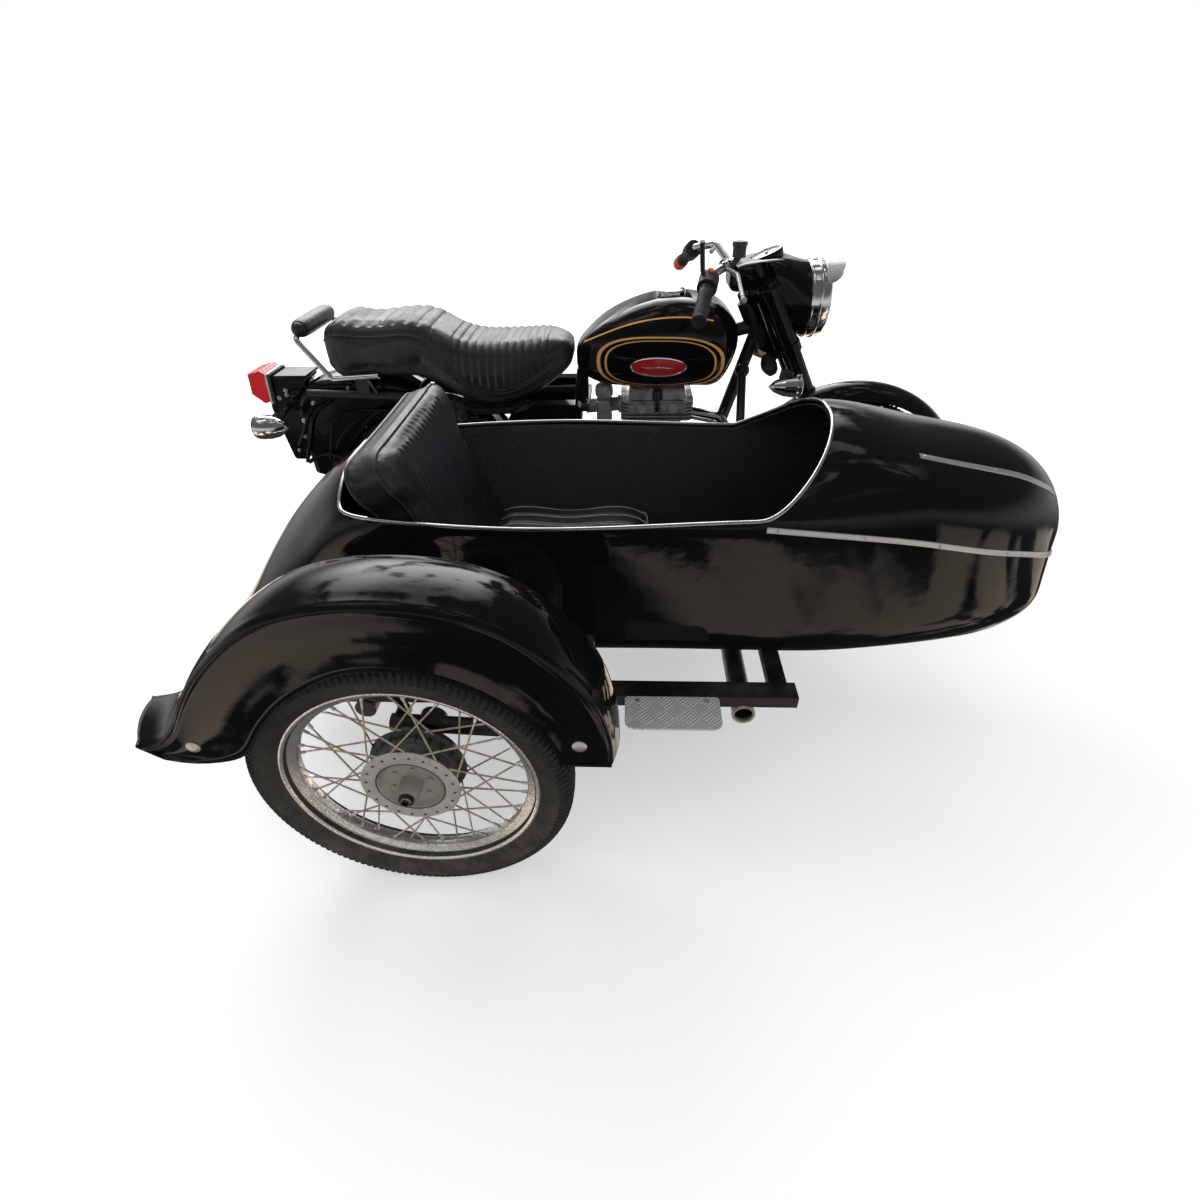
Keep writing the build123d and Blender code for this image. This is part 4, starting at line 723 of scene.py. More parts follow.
def copies(shape, places, spins=None):
    """The same shape at many places, turned by a matrix at each."""
    points, faces = shape
    spins = np.eye(3)[None] if spins is None else np.asarray(spins)
    moved = np.einsum("kij,nj->kni", np.broadcast_to(spins, (len(places), 3, 3)), points)
    moved = moved + np.asarray(places)[:, None]
    step = (np.arange(len(places)) * len(points))[:, None, None]
    return moved.reshape(-1, 3), (faces[None] + step).reshape(-1, faces.shape[1])


SLOT_OF = {s["node"]: s["material_slot"] for s in frame["record"]["subparts"]}
WELD_GAP, FLAT_GAP = 2e-6, 1e-7


def placed(name, data):
    """A new object of some data, at the origin."""
    thing = bpy.data.objects.new(name, data)
    bpy.context.scene.collection.objects.link(thing)
    return thing


def riding(thing, look, node, whole=False):
    """Gives a mesh its finish, and says which body it rides on and which slot it fills.

    A whole mesh stands for its node.
    """
    thing.data.materials.clear()
    thing.data.materials.append(finish(look))
    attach(thing, BODY_OF[node])
    if whole:
        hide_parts(node)
    return thing


def smooth(mesh):
    """Rounds a mesh's shading."""
    mesh.polygons.foreach_set("use_smooth", np.ones(len(mesh.polygons), bool))


def piece(name, shapes, look, node, whole=False, wall=0.0, out=True, crease=38.0, cut=None,
          values=None):
    """A mesh from shapes: welded, faced outwards, smooth but for its creases, and riding.

    A wall gives an open skin its thickness inwards. A cut changes the welded mesh.
    Values are numbers for each point that the finish reads by name.
    """
    points, faces = join(shapes if isinstance(shapes, list) else [shapes])
    mesh = bpy.data.meshes.new(name)
    mesh.vertices.add(len(points))
    mesh.vertices.foreach_set("co", points.ravel())
    mesh.loops.add(faces.size)
    mesh.loops.foreach_set("vertex_index", faces.ravel())
    mesh.polygons.add(len(faces))
    mesh.polygons.foreach_set("loop_start", np.arange(0, faces.size, faces.shape[1]))
    mesh.update(calc_edges=True)
    for label, numbers in (values or {}).items():
        mesh.attributes.new(label, "FLOAT", "POINT").data.foreach_set("value", numbers.astype(np.float32))
    mesh.validate()
    work = bmesh.new()
    work.from_mesh(mesh)
    bmesh.ops.remove_doubles(work, verts=work.verts, dist=WELD_GAP)
    bmesh.ops.dissolve_degenerate(work, edges=work.edges, dist=FLAT_GAP)
    if cut is not None:
        cut(work)
    if out:
        bmesh.ops.recalc_face_normals(work, faces=work.faces)
    work.to_mesh(mesh)
    work.free()
    smooth(mesh)
    mesh.set_sharp_from_angle(angle=radians(crease))
    thing = placed(name, mesh)
    if wall:
        skin = thing.modifiers.new("wall", "SOLIDIFY")
        skin.thickness, skin.offset = wall, -1.0
    return riding(thing, look, node, whole)


# ---------------------------------------------------------------- wheels
def around(wheel, radius, left, turn):
    """Places on a wheel: its radius, how far left of its middle, and the angle round it."""
    forward, across, up = AXLES[wheel]
    return at(forward + radius * np.cos(turn), across + left, up + radius * np.sin(turn))


def wheel_lathe(wheel, outline, sides=120):
    """A ring turned round a wheel's axle from (radius, left) corners in millimetres."""
    outline = np.asarray(outline, float)[:, ::-1] / 1000
    return lathe(outline, at(*AXLES[wheel]), (0, 1, 0), sides)


def tyre(wheel):
    """A road tyre. Its section is a bead, a bulged wall with rings, and a round crown; blocks
    stand between slots, cut where a wave round the wheel is high, and two grooves round the crown."""
    depth = bpy.context.scene.motorcycle_sizes.tread_depth * 1000
    blocks, shoulder_radius = 140, 294
    wall = np.array([(243.3, 26), (246, 27.5), (254.5, 30.5), (257, 33), (259, 34.0), (261, 34.6),
                     (263, 37.2), (270, 41.2), (279, 43.6), (285, 43.8), (288, 43.2), (289, 43.9),
                     (291, 43.6)])
    half = np.linspace(0, 1, 17)[1:]
    angle = half * pi / 2
    shoulder = np.stack([291.5 + 28.5 * np.sin(angle) ** 0.95, 43.2 * np.cos(angle) ** 0.66], -1)
    one = np.concatenate([wall, shoulder[:-1]])
    section = np.concatenate([one, [(320, 0)], one[::-1] * (1, -1), [(243.3, -26), (243.3, 26)]])
    turns = np.linspace(0, 2 * pi, 1120, endpoint=False)[:, None]
    radius, left = section[None, :, 0], section[None, :, 1]
    aside = np.abs(left)
    wave = np.cos(turns * blocks + aside * 0.09)
    slots = (wave > 0.35) * (aside > 13) * (radius > shoulder_radius)
    rails = (np.abs(aside - 11) < 2.6) * (radius > 314)
    groove = np.where(slots | rails, 1.0, 0.0)
    points = around(wheel, radius - groove * depth, left + 0 * turns, turns)
    node = f"{wheel}_tyre"
    return piece(f"{wheel}_tread", sheet(points, True, True), f"tyre_{wheel}", node, True, crease=50,
                 values={"groove": groove.ravel()})


def mirrored(outline):
    """An outline's (radius, left) corners, then their mirror images in the opposite order."""
    return [*outline, *[(radius, -left) for radius, left in reversed(outline)]]


RIM_OUTSIDE = [(254, 30), (254.6, 28.6), (253, 27.2), (248, 27), (246.6, 25), (246.4, 17), (231, 10),
               (229.5, 8)]
RIM_INSIDE = [(251.5, -30.8), (248.5, -30), (245.6, -28), (244.8, -25), (244.6, -18), (228, -11), (226.5, -8)]
HUB = np.array([
    (NEARLY_0, 44), (20, 44), (22, 42), (22, 20), (58, 19), (61, 22), (66, 31), (96, 31), (98, 29.5),
    (98, 27.5), (96, 26), (84, 26), (82, 24), (82, 14), (84, 12), (84, 4), (82, 2), (82, -8), (84, -10),
    (84, -24), (96, -26), (98, -27.5), (98, -29.5), (96, -31), (60, -31), (56, -33), (22, -34), (22, -42),
    (20, -44), (NEARLY_0, -44),
])
SPOKES = 40


def wire_wheel(wheel, open_side):
    """A laced wheel: a rolled rim, two flanges of bent spokes with nipples, and a hub drum.

    The hub's recess is on its open side: 1 for the left, -1 for the right.
    """
    rim = mirrored(RIM_OUTSIDE) + mirrored(RIM_INSIDE) + RIM_OUTSIDE[:1]
    shapes = [wheel_lathe(wheel, rim, 160), wheel_lathe(wheel, HUB * (1, open_side), 96)]
    n = np.arange(SPOKES)
    each_side = SPOKES // 2
    side = np.where(n < each_side, -1.0, 1.0)
    root = (n % each_side) * radians(360 / each_side) + side * radians(4.5)
    lean = np.where(n % 2 == 0, -1.0, 1.0) * radians(36)
    start = around(wheel, 93.0, side * 28.5, root)
    bend = around(wheel, 97.0, side * (28.5 - 3.2), root + np.sign(lean) * radians(1.5))
    tip = around(wheel, 229.0, side * 4, root + lean)
    run = tip - bend
    nipple = bend + run * 0.91
    for k in n:
        shapes.append(tube(np.stack([start[k], bend[k], bend[k] + run[k] * 0.03, tip[k]]), 0.0019, 8))
        shapes.append(tube(np.stack([nipple[k], nipple[k] + run[k] * 0.02, tip[k]]), 0.0034, 6))
    head = bolt_head([(-2.2, 0), (-1.8, 3), (0, 4.2), (1.6, 3), (2, 0)], (0, 1, 0), 8)
    shapes.append(copies(head, around(wheel, 91.0, side * 31.6, root)))
    node = f"{wheel}_wire_wheel"
    return piece(f"{wheel}_laced_wheel", shapes, f"wheel_{wheel}", node, True)


def hub_fittings():
    """The sidecar hub's near face: a ring of bolts in the recess, a dust cap and an axle nut."""
    bolts = 6
    turn = np.linspace(0, 2 * pi, bolts, endpoint=False) + 0.3
    bolt = bolt_head([(0, 0), (0, 5.2), (4, 5.2), (4.8, 4.4), (5, 0)], (0, -1, 0), 6)
    shapes = [copies(bolt, around("sidecar", 41.0, np.full(bolts, -18.5), turn))]
    for outline, sides in (
        ([(40, 0), (40, 21.5), (52, 21.5), (58, 17), (58.5, 0)], 48),
        ([(58, 0), (58, 10.5), (65.5, 10.5), (67, 9), (67, 0)], 6),
        ([(66, 0), (66, 6.2), (69.5, 6.2), (70, 5.2), (70, 0)], 24),
        ([(29.8, 70), (31.5, 70.5), (32.2, 72.5), (32.2, 94.5), (30, 97), (29.8, 70)], 96),
    ):
        shapes.append(turned(outline, AXLES["sidecar"], (0, -1, 0), sides))
    piece("sidecar_hub_fittings", shapes, "wheel_sidecar", "sidecar_wire_wheel")


# ---------------------------------------------------------------- sidecar body
HULL_ROWS = np.array([  # forward, bottom, shoulder, top, half width low, half width at shoulder, bilge
    (-335, 348, 362, 376, 92, 92, 6), (-290, 346, 392, 430, 135, 128, 14),
    (-180, 346, 490, 570, 192, 172, 36), (-40, 352, 610, 712, 226, 204, 56),
    (100, 360, 725, 792, 246, 236, 66), (300, 370, 745, 805, 254, 274, 66),
    (500, 370, 750, 810, 257, 288, 66), (760, 370, 745, 815, 257, 270, 66),
    (940, 366, 735, 835, 255, 256, 66), (1090, 354, 730, 864, 250, 246, 80),
    (1270, 348, 708, 832, 235, 224, 100), (1430, 346, 666, 803, 206, 190, 110),
    (1550, 362, 622, 750, 162, 136, 96), (1620, 402, 583, 664, 104, 80, 60),
    (1645, 462, 556, 590, 42, 36, 20),
])
SECTION_COUNTS = (7, 13, 15, 25)  # points along a section's flat, bilge, side and top
SIDE_FROM, TOP_FROM = 6, 36  # the points from which its heights rise steadily, and its widths fall
SILL, COCKPIT_REAR, COCKPIT_FRONT = 728.0, 70.0, 935.0
SCUTTLE = (1090.0, 866.0)
REAR_SLOPE = -2.0


def hull_rows(count):
    """The body's stations, close together where it curves."""
    rows = np.concatenate([HULL_ROWS, [[1652, 548, 550, 552, 0.5, 0.5, 0.1]]])
    steps = np.sqrt((np.diff(rows[:, [0, 2, 5]], axis=0) ** 2).sum(1))
    return spline(np.concatenate([[0], np.cumsum(steps)]), rows, np.linspace(0, steps.sum(), count))


def row_at(forward):
    """The body's row at a station, read off the same curves that make its skin."""
    rows = hull_rows(1200)
    return np.stack([np.interp(np.atleast_1d(forward), rows[:, 0], column) for column in rows.T], -1)


def hull_sections(rows, grow=0.0):
    """Section points from the keel up one side to the crown: a flat, a bilge arc, a straight side
    and a top that is a circle's arc over the cockpit and turns into half an ellipse in the nose."""
    forward, bottom, shoulder, top, low, high, bilge = rows.T[:, :, None]
    bottom, top = bottom - grow, top + grow
    low, high = (np.maximum(wide + grow, 0.3) for wide in (low, high))
    bilge = np.minimum(bilge, 0.45 * np.maximum(shoulder - bottom, 0.1))
    bilge = np.minimum(bilge, low * 0.95)
    flat, arc, side, over = (np.linspace(0, 1, n)[None] for n in SECTION_COUNTS)
    turn = arc[:, 1:] * pi / 2
    parts = [
        (flat * (low - bilge), bottom + 0 * flat),
        (low - bilge + bilge * np.sin(turn), bottom + bilge - bilge * np.cos(turn)),
        (low + (high - low) * side[:, 1:], bottom + bilge + (shoulder - bottom - bilge) * side[:, 1:]),
    ]
    rise = np.maximum(top - shoulder, 0.2)
    bend = (high**2 + rise**2) / (2 * rise)
    half = np.arcsin(np.clip(high / bend, -1, 1))
    half = np.where(rise > high, pi - half, half)
    swing = half * (1 - over[:, 1:])
    circle = bend * np.sin(swing), top - bend + bend * np.cos(swing)
    lift = over[:, 1:] * pi / 2
    oval = high * np.cos(lift), shoulder + rise * np.sin(lift)
    share_oval = np.clip((forward - 1090) / 180, 0, 1)
    share_oval = share_oval**2 * (3 - 2 * share_oval)
    parts.append(tuple(c + share_oval * (o - c) for c, o in zip(circle, oval)))
    across = np.concatenate([p[0] for p in parts], 1)
    up = np.concatenate([p[1] for p in parts], 1)
    for _ in range(3):
        softer = across.copy(), up.copy()
        for new, old in zip(softer, (across, up)):
            new[:, 1:-1] = old[:, 1:-1] * 0.5 + 0.25 * (old[:, :-2] + old[:, 2:])
        across, up = softer
    return np.broadcast_to(forward, across.shape), across, up


def hull_surface(count=150, grow=0.0, span=None):
    """The whole skin: each section, mirrored to the other side."""
    rows = hull_rows(count)
    if span:
        rows = rows[(rows[:, 0] > span[0]) & (rows[:, 0] < span[1])]
    forward, across, up = hull_sections(rows, grow)
    halves = (forward, forward), (-across, across), (up, up)
    forward, across, up = (np.concatenate([near, far[:, -2:0:-1]], 1) for near, far in halves)
    return at(forward, BODY_LINE + across, up)


def rim_height(forward):
    """The cockpit edge's height: a rear slope, a level sill and a scuttle that steepens as a square."""
    t = (forward - COCKPIT_FRONT) / (SCUTTLE[0] - COCKPIT_FRONT)
    rise = (SCUTTLE[1] - SILL) * (0.474 * t + 0.526 * t * t)
    rear = REAR_SLOPE * (forward - COCKPIT_REAR)
    return SILL + np.where(t > 0, rise, np.where(rear > 0, rear, 0.0))


def open_cockpit(raised=0.0):
    """Cuts a mesh along planes that touch the cockpit's edge, and drops what is above them all."""

    def cut(work):
        planes = [((0, SILL), (0, 1)), ((COCKPIT_REAR, SILL), (-REAR_SLOPE, 1))]
        for forward in np.linspace(COCKPIT_FRONT + 10, SCUTTLE[0] + 20, 6):
            low, high = rim_height(np.array([forward - 1, forward + 1]))
            planes.append(((forward, (low + high) / 2), ((low - high) / 2, 1)))
        cuts = []
        for (forward, up), (run, rise) in planes:
            corner = Vector(at(forward, BODY_LINE, up + raised).tolist())
            cuts.append((corner, Vector((run, 0, rise)).normalized()))
        for corner, normal in cuts:
            parts = work.verts[:] + work.edges[:] + work.faces[:]
            bmesh.ops.bisect_plane(work, geom=parts, plane_co=corner, plane_no=normal, dist=1e-6)
        inside = [
            f for f in work.faces
            if all((f.calc_center_median() - corner).dot(normal) > 0 for corner, normal in cuts)
        ]
        bmesh.ops.delete(work, geom=inside, context="FACES")

    return cut


def half_width(forward, up):
    """The skin's half width at stations and heights, and its crown's height there."""
    _, across, height = hull_sections(row_at(forward))
    wide = [np.interp(u, h[SIDE_FROM:], a[SIDE_FROM:]) for u, h, a in zip(np.atleast_1d(up), height, across)]
    return np.array(wide), height[:, -1]


def cockpit_edge(count=120):
    """The cockpit's edge from the back round the near side to the scuttle, then the far side."""
    share_along = (1 - np.cos(np.linspace(0, pi, count))) / 2
    forward = 38.0 + (1096.0 - 38.0) * share_along
    up = rim_height(forward)
    wide, crown = half_width(forward, up)
    good = up < crown - 0.4
    forward, up, wide = forward[good], up[good], wide[good]
    near = np.stack([forward, BODY_LINE - wide, up], -1)
    far = np.stack([forward, BODY_LINE + wide, up], -1)[::-1]
    return calm(even(np.concatenate([near, far]), 420, True))


def sidecar_shell():
    """The body's painted skin, the bead round its cockpit and its carpet."""
    sizes = bpy.context.scene.sidecar_sizes
    skin = sheet(hull_surface(), False, True)
    piece("sidecar_skin", skin, "gloss_paint", "sidecar_body", True, wall=sizes.skin,
          cut=open_cockpit(), crease=40)
    path = at(*cockpit_edge().T)
    piece("cockpit_bead", tube(path, sizes.bead, 12, closed=True), "bead_metal", "sidecar_coaming", True)
    lining = sheet(hull_surface(130, -9.5, (64, 1240)), False, True)
    piece("cockpit_carpet_lining", lining, "carpet", "sidecar_carpet", True, wall=0.003,
          cut=open_cockpit(-6.0), crease=60)


def trim_strips():
    """Riveted aluminium strips along the nose: flat bars laid on the skin, square to its normal.

    The lower pair follows given heights, the upper pair given distances from the middle.
    """
    width = bpy.context.scene.sidecar_sizes.strip
    lower = np.array([(937, 711), (1098, 691), (1260, 664), (1400, 630), (1526, 594), (1618, 557)], float)
    upper = np.array([(1243, 137), (1318, 134), (1400, 128), (1471, 115), (1526, 100), (1572, 80)], float)
    # out from the skin in metres, and across as a share of the strip's width
    section = np.array([(-0.0006, -0.5), (0.0012, -0.5), (0.0020, -0.42), (0.0022, 0.42), (0.0012, 0.5),
                        (-0.0006, 0.5)])
    shapes, rivets = [], []
    for track, heights in ((lower, True), (upper, False)):
        stations = np.linspace(track[0, 0], track[-1, 0], 60)
        value = spline(track[:, 0], track[:, 1], stations)
        _, across, height = hull_sections(row_at(stations))

        def on_skin(move):
            """The line's half width and height, moved across itself by some millimetres."""
            rows = list(zip(value + move, across, height))
            if heights:
                wide = [np.interp(v, h[SIDE_FROM:], a[SIDE_FROM:]) for v, a, h in rows]
                return np.array(wide), value + move
            tall = [np.interp(-v, -a[TOP_FROM:], h[TOP_FROM:]) for v, a, h in rows]
            return value + move, np.array(tall)

        wide, tall = on_skin(0)
        (wide_low, tall_low), (wide_high, tall_high) = on_skin(-5), on_skin(5)
        for sign in (-1, 1):
            path = at(stations, BODY_LINE + sign * wide, tall)
            side = np.stack([0 * wide, sign * (wide_high - wide_low), tall_high - tall_low], -1)
            outward = np.cross(np.gradient(path, axis=0), side)
            outward /= np.linalg.norm(outward, axis=1, keepdims=True)
            outward *= np.sign(outward[:, 1:2] * sign + outward[:, 2:])
            shapes.append(carried(path, section * (1, width), upright=outward))
            picks = [2, 17, 31, 45, 57] if heights else [2, 29, 57]
            rivets.append((path[picks] + outward[picks] * 0.0022, outward[picks]))
    dome = bolt_head([(-1, 0), (-1, 3.4), (0.6, 3.2), (1.8, 1.8), (2.1, 0)], (0, 0, 1), 12)
    for places, outward in rivets:
        turns = [Vector(v).to_track_quat("Z", "Y").to_matrix() for v in outward]
        shapes.append(copies(dome, places, [np.array(t) for t in turns]))
    piece("nose_trim_strips", shapes, "bright_trim", "sidecar_body")


# ---------------------------------------------------------------- sidecar mudguard
GUARD_CROWN = [(642, 452), (641, 490), (633, 539), (616, 591), (595, 631), (541, 700), (481, 750),
               (414, 780), (338, 795), (257, 798), (180, 788), (105, 763), (42, 723), (-14, 672), (-62, 617),
               (-95, 568), (-122, 527), (-146, 502), (-172, 488), (-203, 481)]
GUARD_ARCH = [(552, 452), (548, 480), (534, 514), (509, 552), (470, 592), (415, 632), (352, 660), (277, 671),
              (205, 660), (140, 626), (88, 586), (52, 548), (24, 512), (4, 482), (-20, 460), (-60, 446),
              (-103, 441), (-140, 444), (-165, 450)]


def guard_shell(crown, arch, near, far, corner, bulge, dish=0.0, sweep=(0.0, 0.0)):
    """A mudguard: an arched crown between two side sheets, with rolled corners.

    Each station runs from the arch on the near side up to the crown's edge, round a corner,
    over the slightly crowned top, round the far corner and down to the far arch. A dish
    hollows the side sheets. The last stations are swept backwards, more and more towards
    the far side.
    """
    toward = arch - crown
    reach = np.linalg.norm(toward, axis=1)[:, None]
    toward = toward / reach
    width = far - near
    down = np.linspace(1, 0, 13)[:-1]
    turn = np.linspace(0, pi / 2, 9)
    flat = np.linspace(0, 1, 13)[1:-1]
    bend = np.minimum(corner, reach * 0.8)
    near_side = (down[None] ** 1.15 * (reach - bend) + bend, 0 * down[None] + 0 * reach)
    near_turn = (bend * (1 - np.sin(turn))[None], bend * (1 - np.cos(turn))[None])
    lift = -bulge * np.sin(flat * pi) ** 0.8
    top = (lift[None] + 0 * reach, bend + flat[None] * (width - 2 * bend))
    depths, lefts = (np.concatenate([side, turned_in], 1) for side, turned_in in zip(near_side, near_turn))
    depth = np.concatenate([depths, top[0], depths[:, ::-1]], 1)
    across = np.concatenate([lefts, top[1], width - lefts[:, ::-1]], 1)
    hollow = dish * np.sin(np.clip((depth - bend) / (reach - bend), 0, 1) * pi)
    inward = np.where(across < width / 2, hollow, -hollow) * (depth > bend)
    swept_from = -5.25  # so that the sweep starts 1 / 6.25 of the way from the end
    last = np.clip(np.linspace(swept_from, 1, len(crown)), 0, 1)[:, None] ** 1.5 * across / width
    forward = crown[:, :1] + toward[:, :1] * depth + sweep[0] * last
    up = crown[:, 1:] + toward[:, 1:] * depth + sweep[1] * last
    return sheet(at(forward, near + across + inward, up))


def sidecar_guard():
    """The mudguard, whose tail flips outwards, its rolled edges and its two domed bolts."""
    wall = bpy.context.scene.sidecar_sizes.guard_wall
    crown = even(through(GUARD_CROWN, 500), 170)
    arch = even(through(GUARD_ARCH, 400), 170)
    shell = guard_shell(crown, arch, GUARD_OUTER + wall * 1000, GUARD_INNER, 13.0, 9.0, 5.0, (-62.0, -16.0))
    piece("sidecar_mudguard_skin", shell, "gloss_paint", "sidecar_mudguard", True,
          wall=wall, out=False, crease=60)
    foot = even([crown[-1], arch[-1]], 20)
    tip = even([crown[0], arch[0]], 10)
    bead = 0.0033
    shapes = [tube(at(line[:, 0], GUARD_OUTER + 3.5, line[:, 1]), bead, 10) for line in (arch, foot, tip)]
    back = np.linspace(0, 1, 20)
    shapes.append(tube(at(-203 - 62 * back, GUARD_OUTER + 4 + 137 * back, 481 - 16 * back), bead, 10))
    piece("sidecar_mudguard_edge", shapes, "gloss_paint", "sidecar_mudguard")
    bolt = [(-1, 0), (-1, 16.5), (0.8, 17), (2, 16), (2.2, 13.5), (5.2, 13), (7, 10), (8, 6), (8.2, 0)]
    bolt = bolt_head(bolt, (0, -1, 0), 24)
    places = at(np.array([-101.0, 587.0]), GUARD_OUTER + 8.4, np.array([480.0, 499.0]))
    piece("mudguard_bolts", copies(bolt, places), "bright_trim", "sidecar_mudguard")


# ---------------------------------------------------------------- seats
SEAT_ROWS = np.array([  # forward, half width, bottom, top, corner
    (-248, 92, 790, 880, 30), (-215, 122, 764, 904, 34), (-140, 129, 760, 908, 35), (-60, 134, 758, 908, 36),
    (70, 138, 750, 902, 36), (150, 142, 706, 862, 40), (260, 142, 676, 846, 44), (380, 132, 700, 850, 44),
    (455, 100, 745, 850, 36), (498, 66, 778, 836, 24),
], float)
TANK_ROWS = np.array([
    (506, 52, 752, 822, 24), (560, 96, 728, 872, 44), (650, 132, 714, 924, 74), (770, 150, 711, 955, 92),
    (880, 148, 713, 948, 92), (950, 122, 740, 915, 76), (985, 66, 806, 872, 32),
], float)
PILLION = (-196.0, 96.0)
RIDER = (150.0, 432.0)


def rounded_section(half, low, high, corner):
    """Rounded rectangles, one a row, as (left, up) points: the top, a corner, a side, and so on.

    Each corner is a quarter circle about a centre one corner radius in from both edges.
    """
    flat, arc, side = (np.linspace(0, 1, n, endpoint=False) for n in (26, 12, 20))
    half, low, high, corner = (np.asarray(v, float)[:, None] for v in (half, low, high, corner))
    corner = np.minimum(corner, np.minimum(half, (high - low) / 2) * 0.98)
    w, turn = half - corner, arc * pi / 2
    top, bottom = high - corner, low + corner
    out, off = corner * np.sin(turn), corner * np.cos(turn)
    left = [2 * w * flat - w, w + out, half + 0 * side, w + off]
    left += [-part for part in left]
    up = [high + 0 * flat, top + off, top + (bottom - top) * side, bottom - out,
          low + 0 * flat, bottom - off, bottom + (top - bottom) * side, top + out]
    return np.concatenate(left, 1), np.concatenate(up, 1)


def lofted(rows, count, round_ends, crown):
    """A body through rows of rounded rectangles, its ends drawn in over a quarter circle.

    The rows are joined by splines along the machine; within a round end's length the section
    shrinks towards its middle as a circle does.
    """
    lo, hi = rows[0, 0], rows[-1, 0]
    span = np.linspace(0, 1, count)
    forward = lo + (hi - lo) * (span - 0.06 * np.sin(2 * pi * span))
    row = spline(rows[:, 0], rows, forward)
    left, up = rounded_section(*row.T[1:])
    half, low, high = row[:, 1:2], row[:, 2:3], row[:, 3:4]
    middle = (low + high) / 2
    up = up + crown * np.clip(1 - (left / half) ** 2, 0, 1) * (up > middle)
    back, front = (forward - lo) / round_ends[0], (hi - forward) / round_ends[1]
    near = np.clip(np.minimum(back, front), 0, 1)[:, None]
    narrow = 1 - min(round_ends) * (1 - np.sqrt(1 - (1 - near) ** 2)) / np.maximum(half, 20)
    points = at(forward[:, None] + 0 * left, left * narrow, middle + (up - middle) * narrow)
    centre = points.mean(1, keepdims=True)

    def ring_in(end, size):
        return centre[end] + size * (points[end] - centre[end])

    first, last = slice(None, 1), slice(-1, None)
    rings = ring_in(first, 0), ring_in(first, 0.6), points, ring_in(last, 0.6), ring_in(last, 0)
    return np.concatenate(rings)


CLOTH_STEPS = 14


def swelled(name, points, push, grip, voxel):
    """A cushion blown up as cloth: remeshed, pressed out from inside and held to a small move."""
    vertices, faces = sheet(points, False, True)
    mesh = bpy.data.meshes.new(name)
    mesh.from_pydata(vertices.tolist(), [], faces.tolist())
    work = bmesh.new()
    work.from_mesh(mesh)
    bmesh.ops.remove_doubles(work, verts=work.verts, dist=1e-5)
    bmesh.ops.recalc_face_normals(work, faces=work.faces)
    work.to_mesh(mesh)
    work.free()
    thing = placed(name, mesh)
    net = thing.modifiers.new("net", "REMESH")
    net.mode, net.voxel_size = "VOXEL", voxel
    bake(thing)
    rest = vectors(thing.data)
    cloth = thing.modifiers.new("cloth", "CLOTH")
    cloth.settings.use_pressure = True
    cloth.settings.uniform_pressure_force = push
    cloth.settings.effector_weights.gravity = 0
    cloth.settings.quality = 4
    cloth.settings.mass = 0.3
    for step in range(1, CLOTH_STEPS + 1):
        bpy.context.scene.frame_set(step)
    bake(thing)
    bpy.context.scene.frame_set(1)
    moved = vectors(thing.data) - rest
    reach = np.linalg.norm(moved, axis=1, keepdims=True)
    moved *= np.minimum(1, grip / np.maximum(reach, 1e-9))
    move_points(thing.data, rest + moved)
    soften = thing.modifiers.new("soften", "SMOOTH")
    soften.factor, soften.iterations = 0.5, 6
    finer = thing.modifiers.new("finer", "SUBSURF")
    finer.levels = finer.render_levels = 1
    bake(thing)
    return thing


def bake(thing):
    """Applies an object's modifiers to its mesh."""
    tree = bpy.context.evaluated_depsgraph_get()
    tree.update()
    new = bpy.data.meshes.new_from_object(thing.evaluated_get(tree))
    thing.modifiers.clear()
    thing.data = new


def vectors(mesh, what="co"):
    """A mesh's points, or with "normal" the ways they face."""
    flat = np.empty(len(mesh.vertices) * 3, np.float32)
    mesh.vertices.foreach_get(what, flat)
    return flat.reshape(-1, 3).astype(float)


def move_points(mesh, points):
    """Puts a mesh's points in new places."""
    mesh.vertices.foreach_set("co", points.astype(np.float32).ravel())
    mesh.update()


def emboss(thing, height):
    """Moves each point along its normal by a height worked out from where it is."""
    points, normals = vectors(thing.data), vectors(thing.data, "normal")
    move_points(thing.data, points + normals * height(points, normals)[:, None])


def cushion(thing, height, node):
    """A swelled mesh's last steps: its sewn relief, its cover and how full it is."""
    emboss(thing, height)
    smooth(thing.data)
    riding(thing, "leathercloth", node, True)


def seam(distance, width):
    """A sewn line's share at a distance from it: a bell curve."""
    return np.exp(-((distance / width) ** 2))


def snapped(path, thing, lift=0.0):
    """A path moved onto a mesh: each point takes the nearest vertex, averaged with its own."""
    points, normals = vectors(thing.data), vectors(thing.data, "normal")
    parts = np.array_split(path, max(1, len(path) // 40))
    near = np.concatenate([np.linalg.norm(points[None] - p[:, None], axis=2).argmin(1) for p in parts])
    drift = ((points[near] - path) * normals[near]).sum(1, keepdims=True)
    return path + normals[near] * (drift + lift)


def channel(position, low, high, count):
    """Sewn channels: |sine|, flattened on top, and where they are between a low and a high place."""
    wave = np.abs(np.sin((position - low) / (high - low) * count * pi)) ** 0.55
    inside = np.clip((position - low + 4) / 6, 0, 1) * np.clip((high - position + 4) / 6, 0, 1)
    return wave, inside


def seat_row(forward):
    """The dual seat's half width, bottom and top at some stations."""
    return spline(SEAT_ROWS[:, 0], SEAT_ROWS, forward).T[1:4]


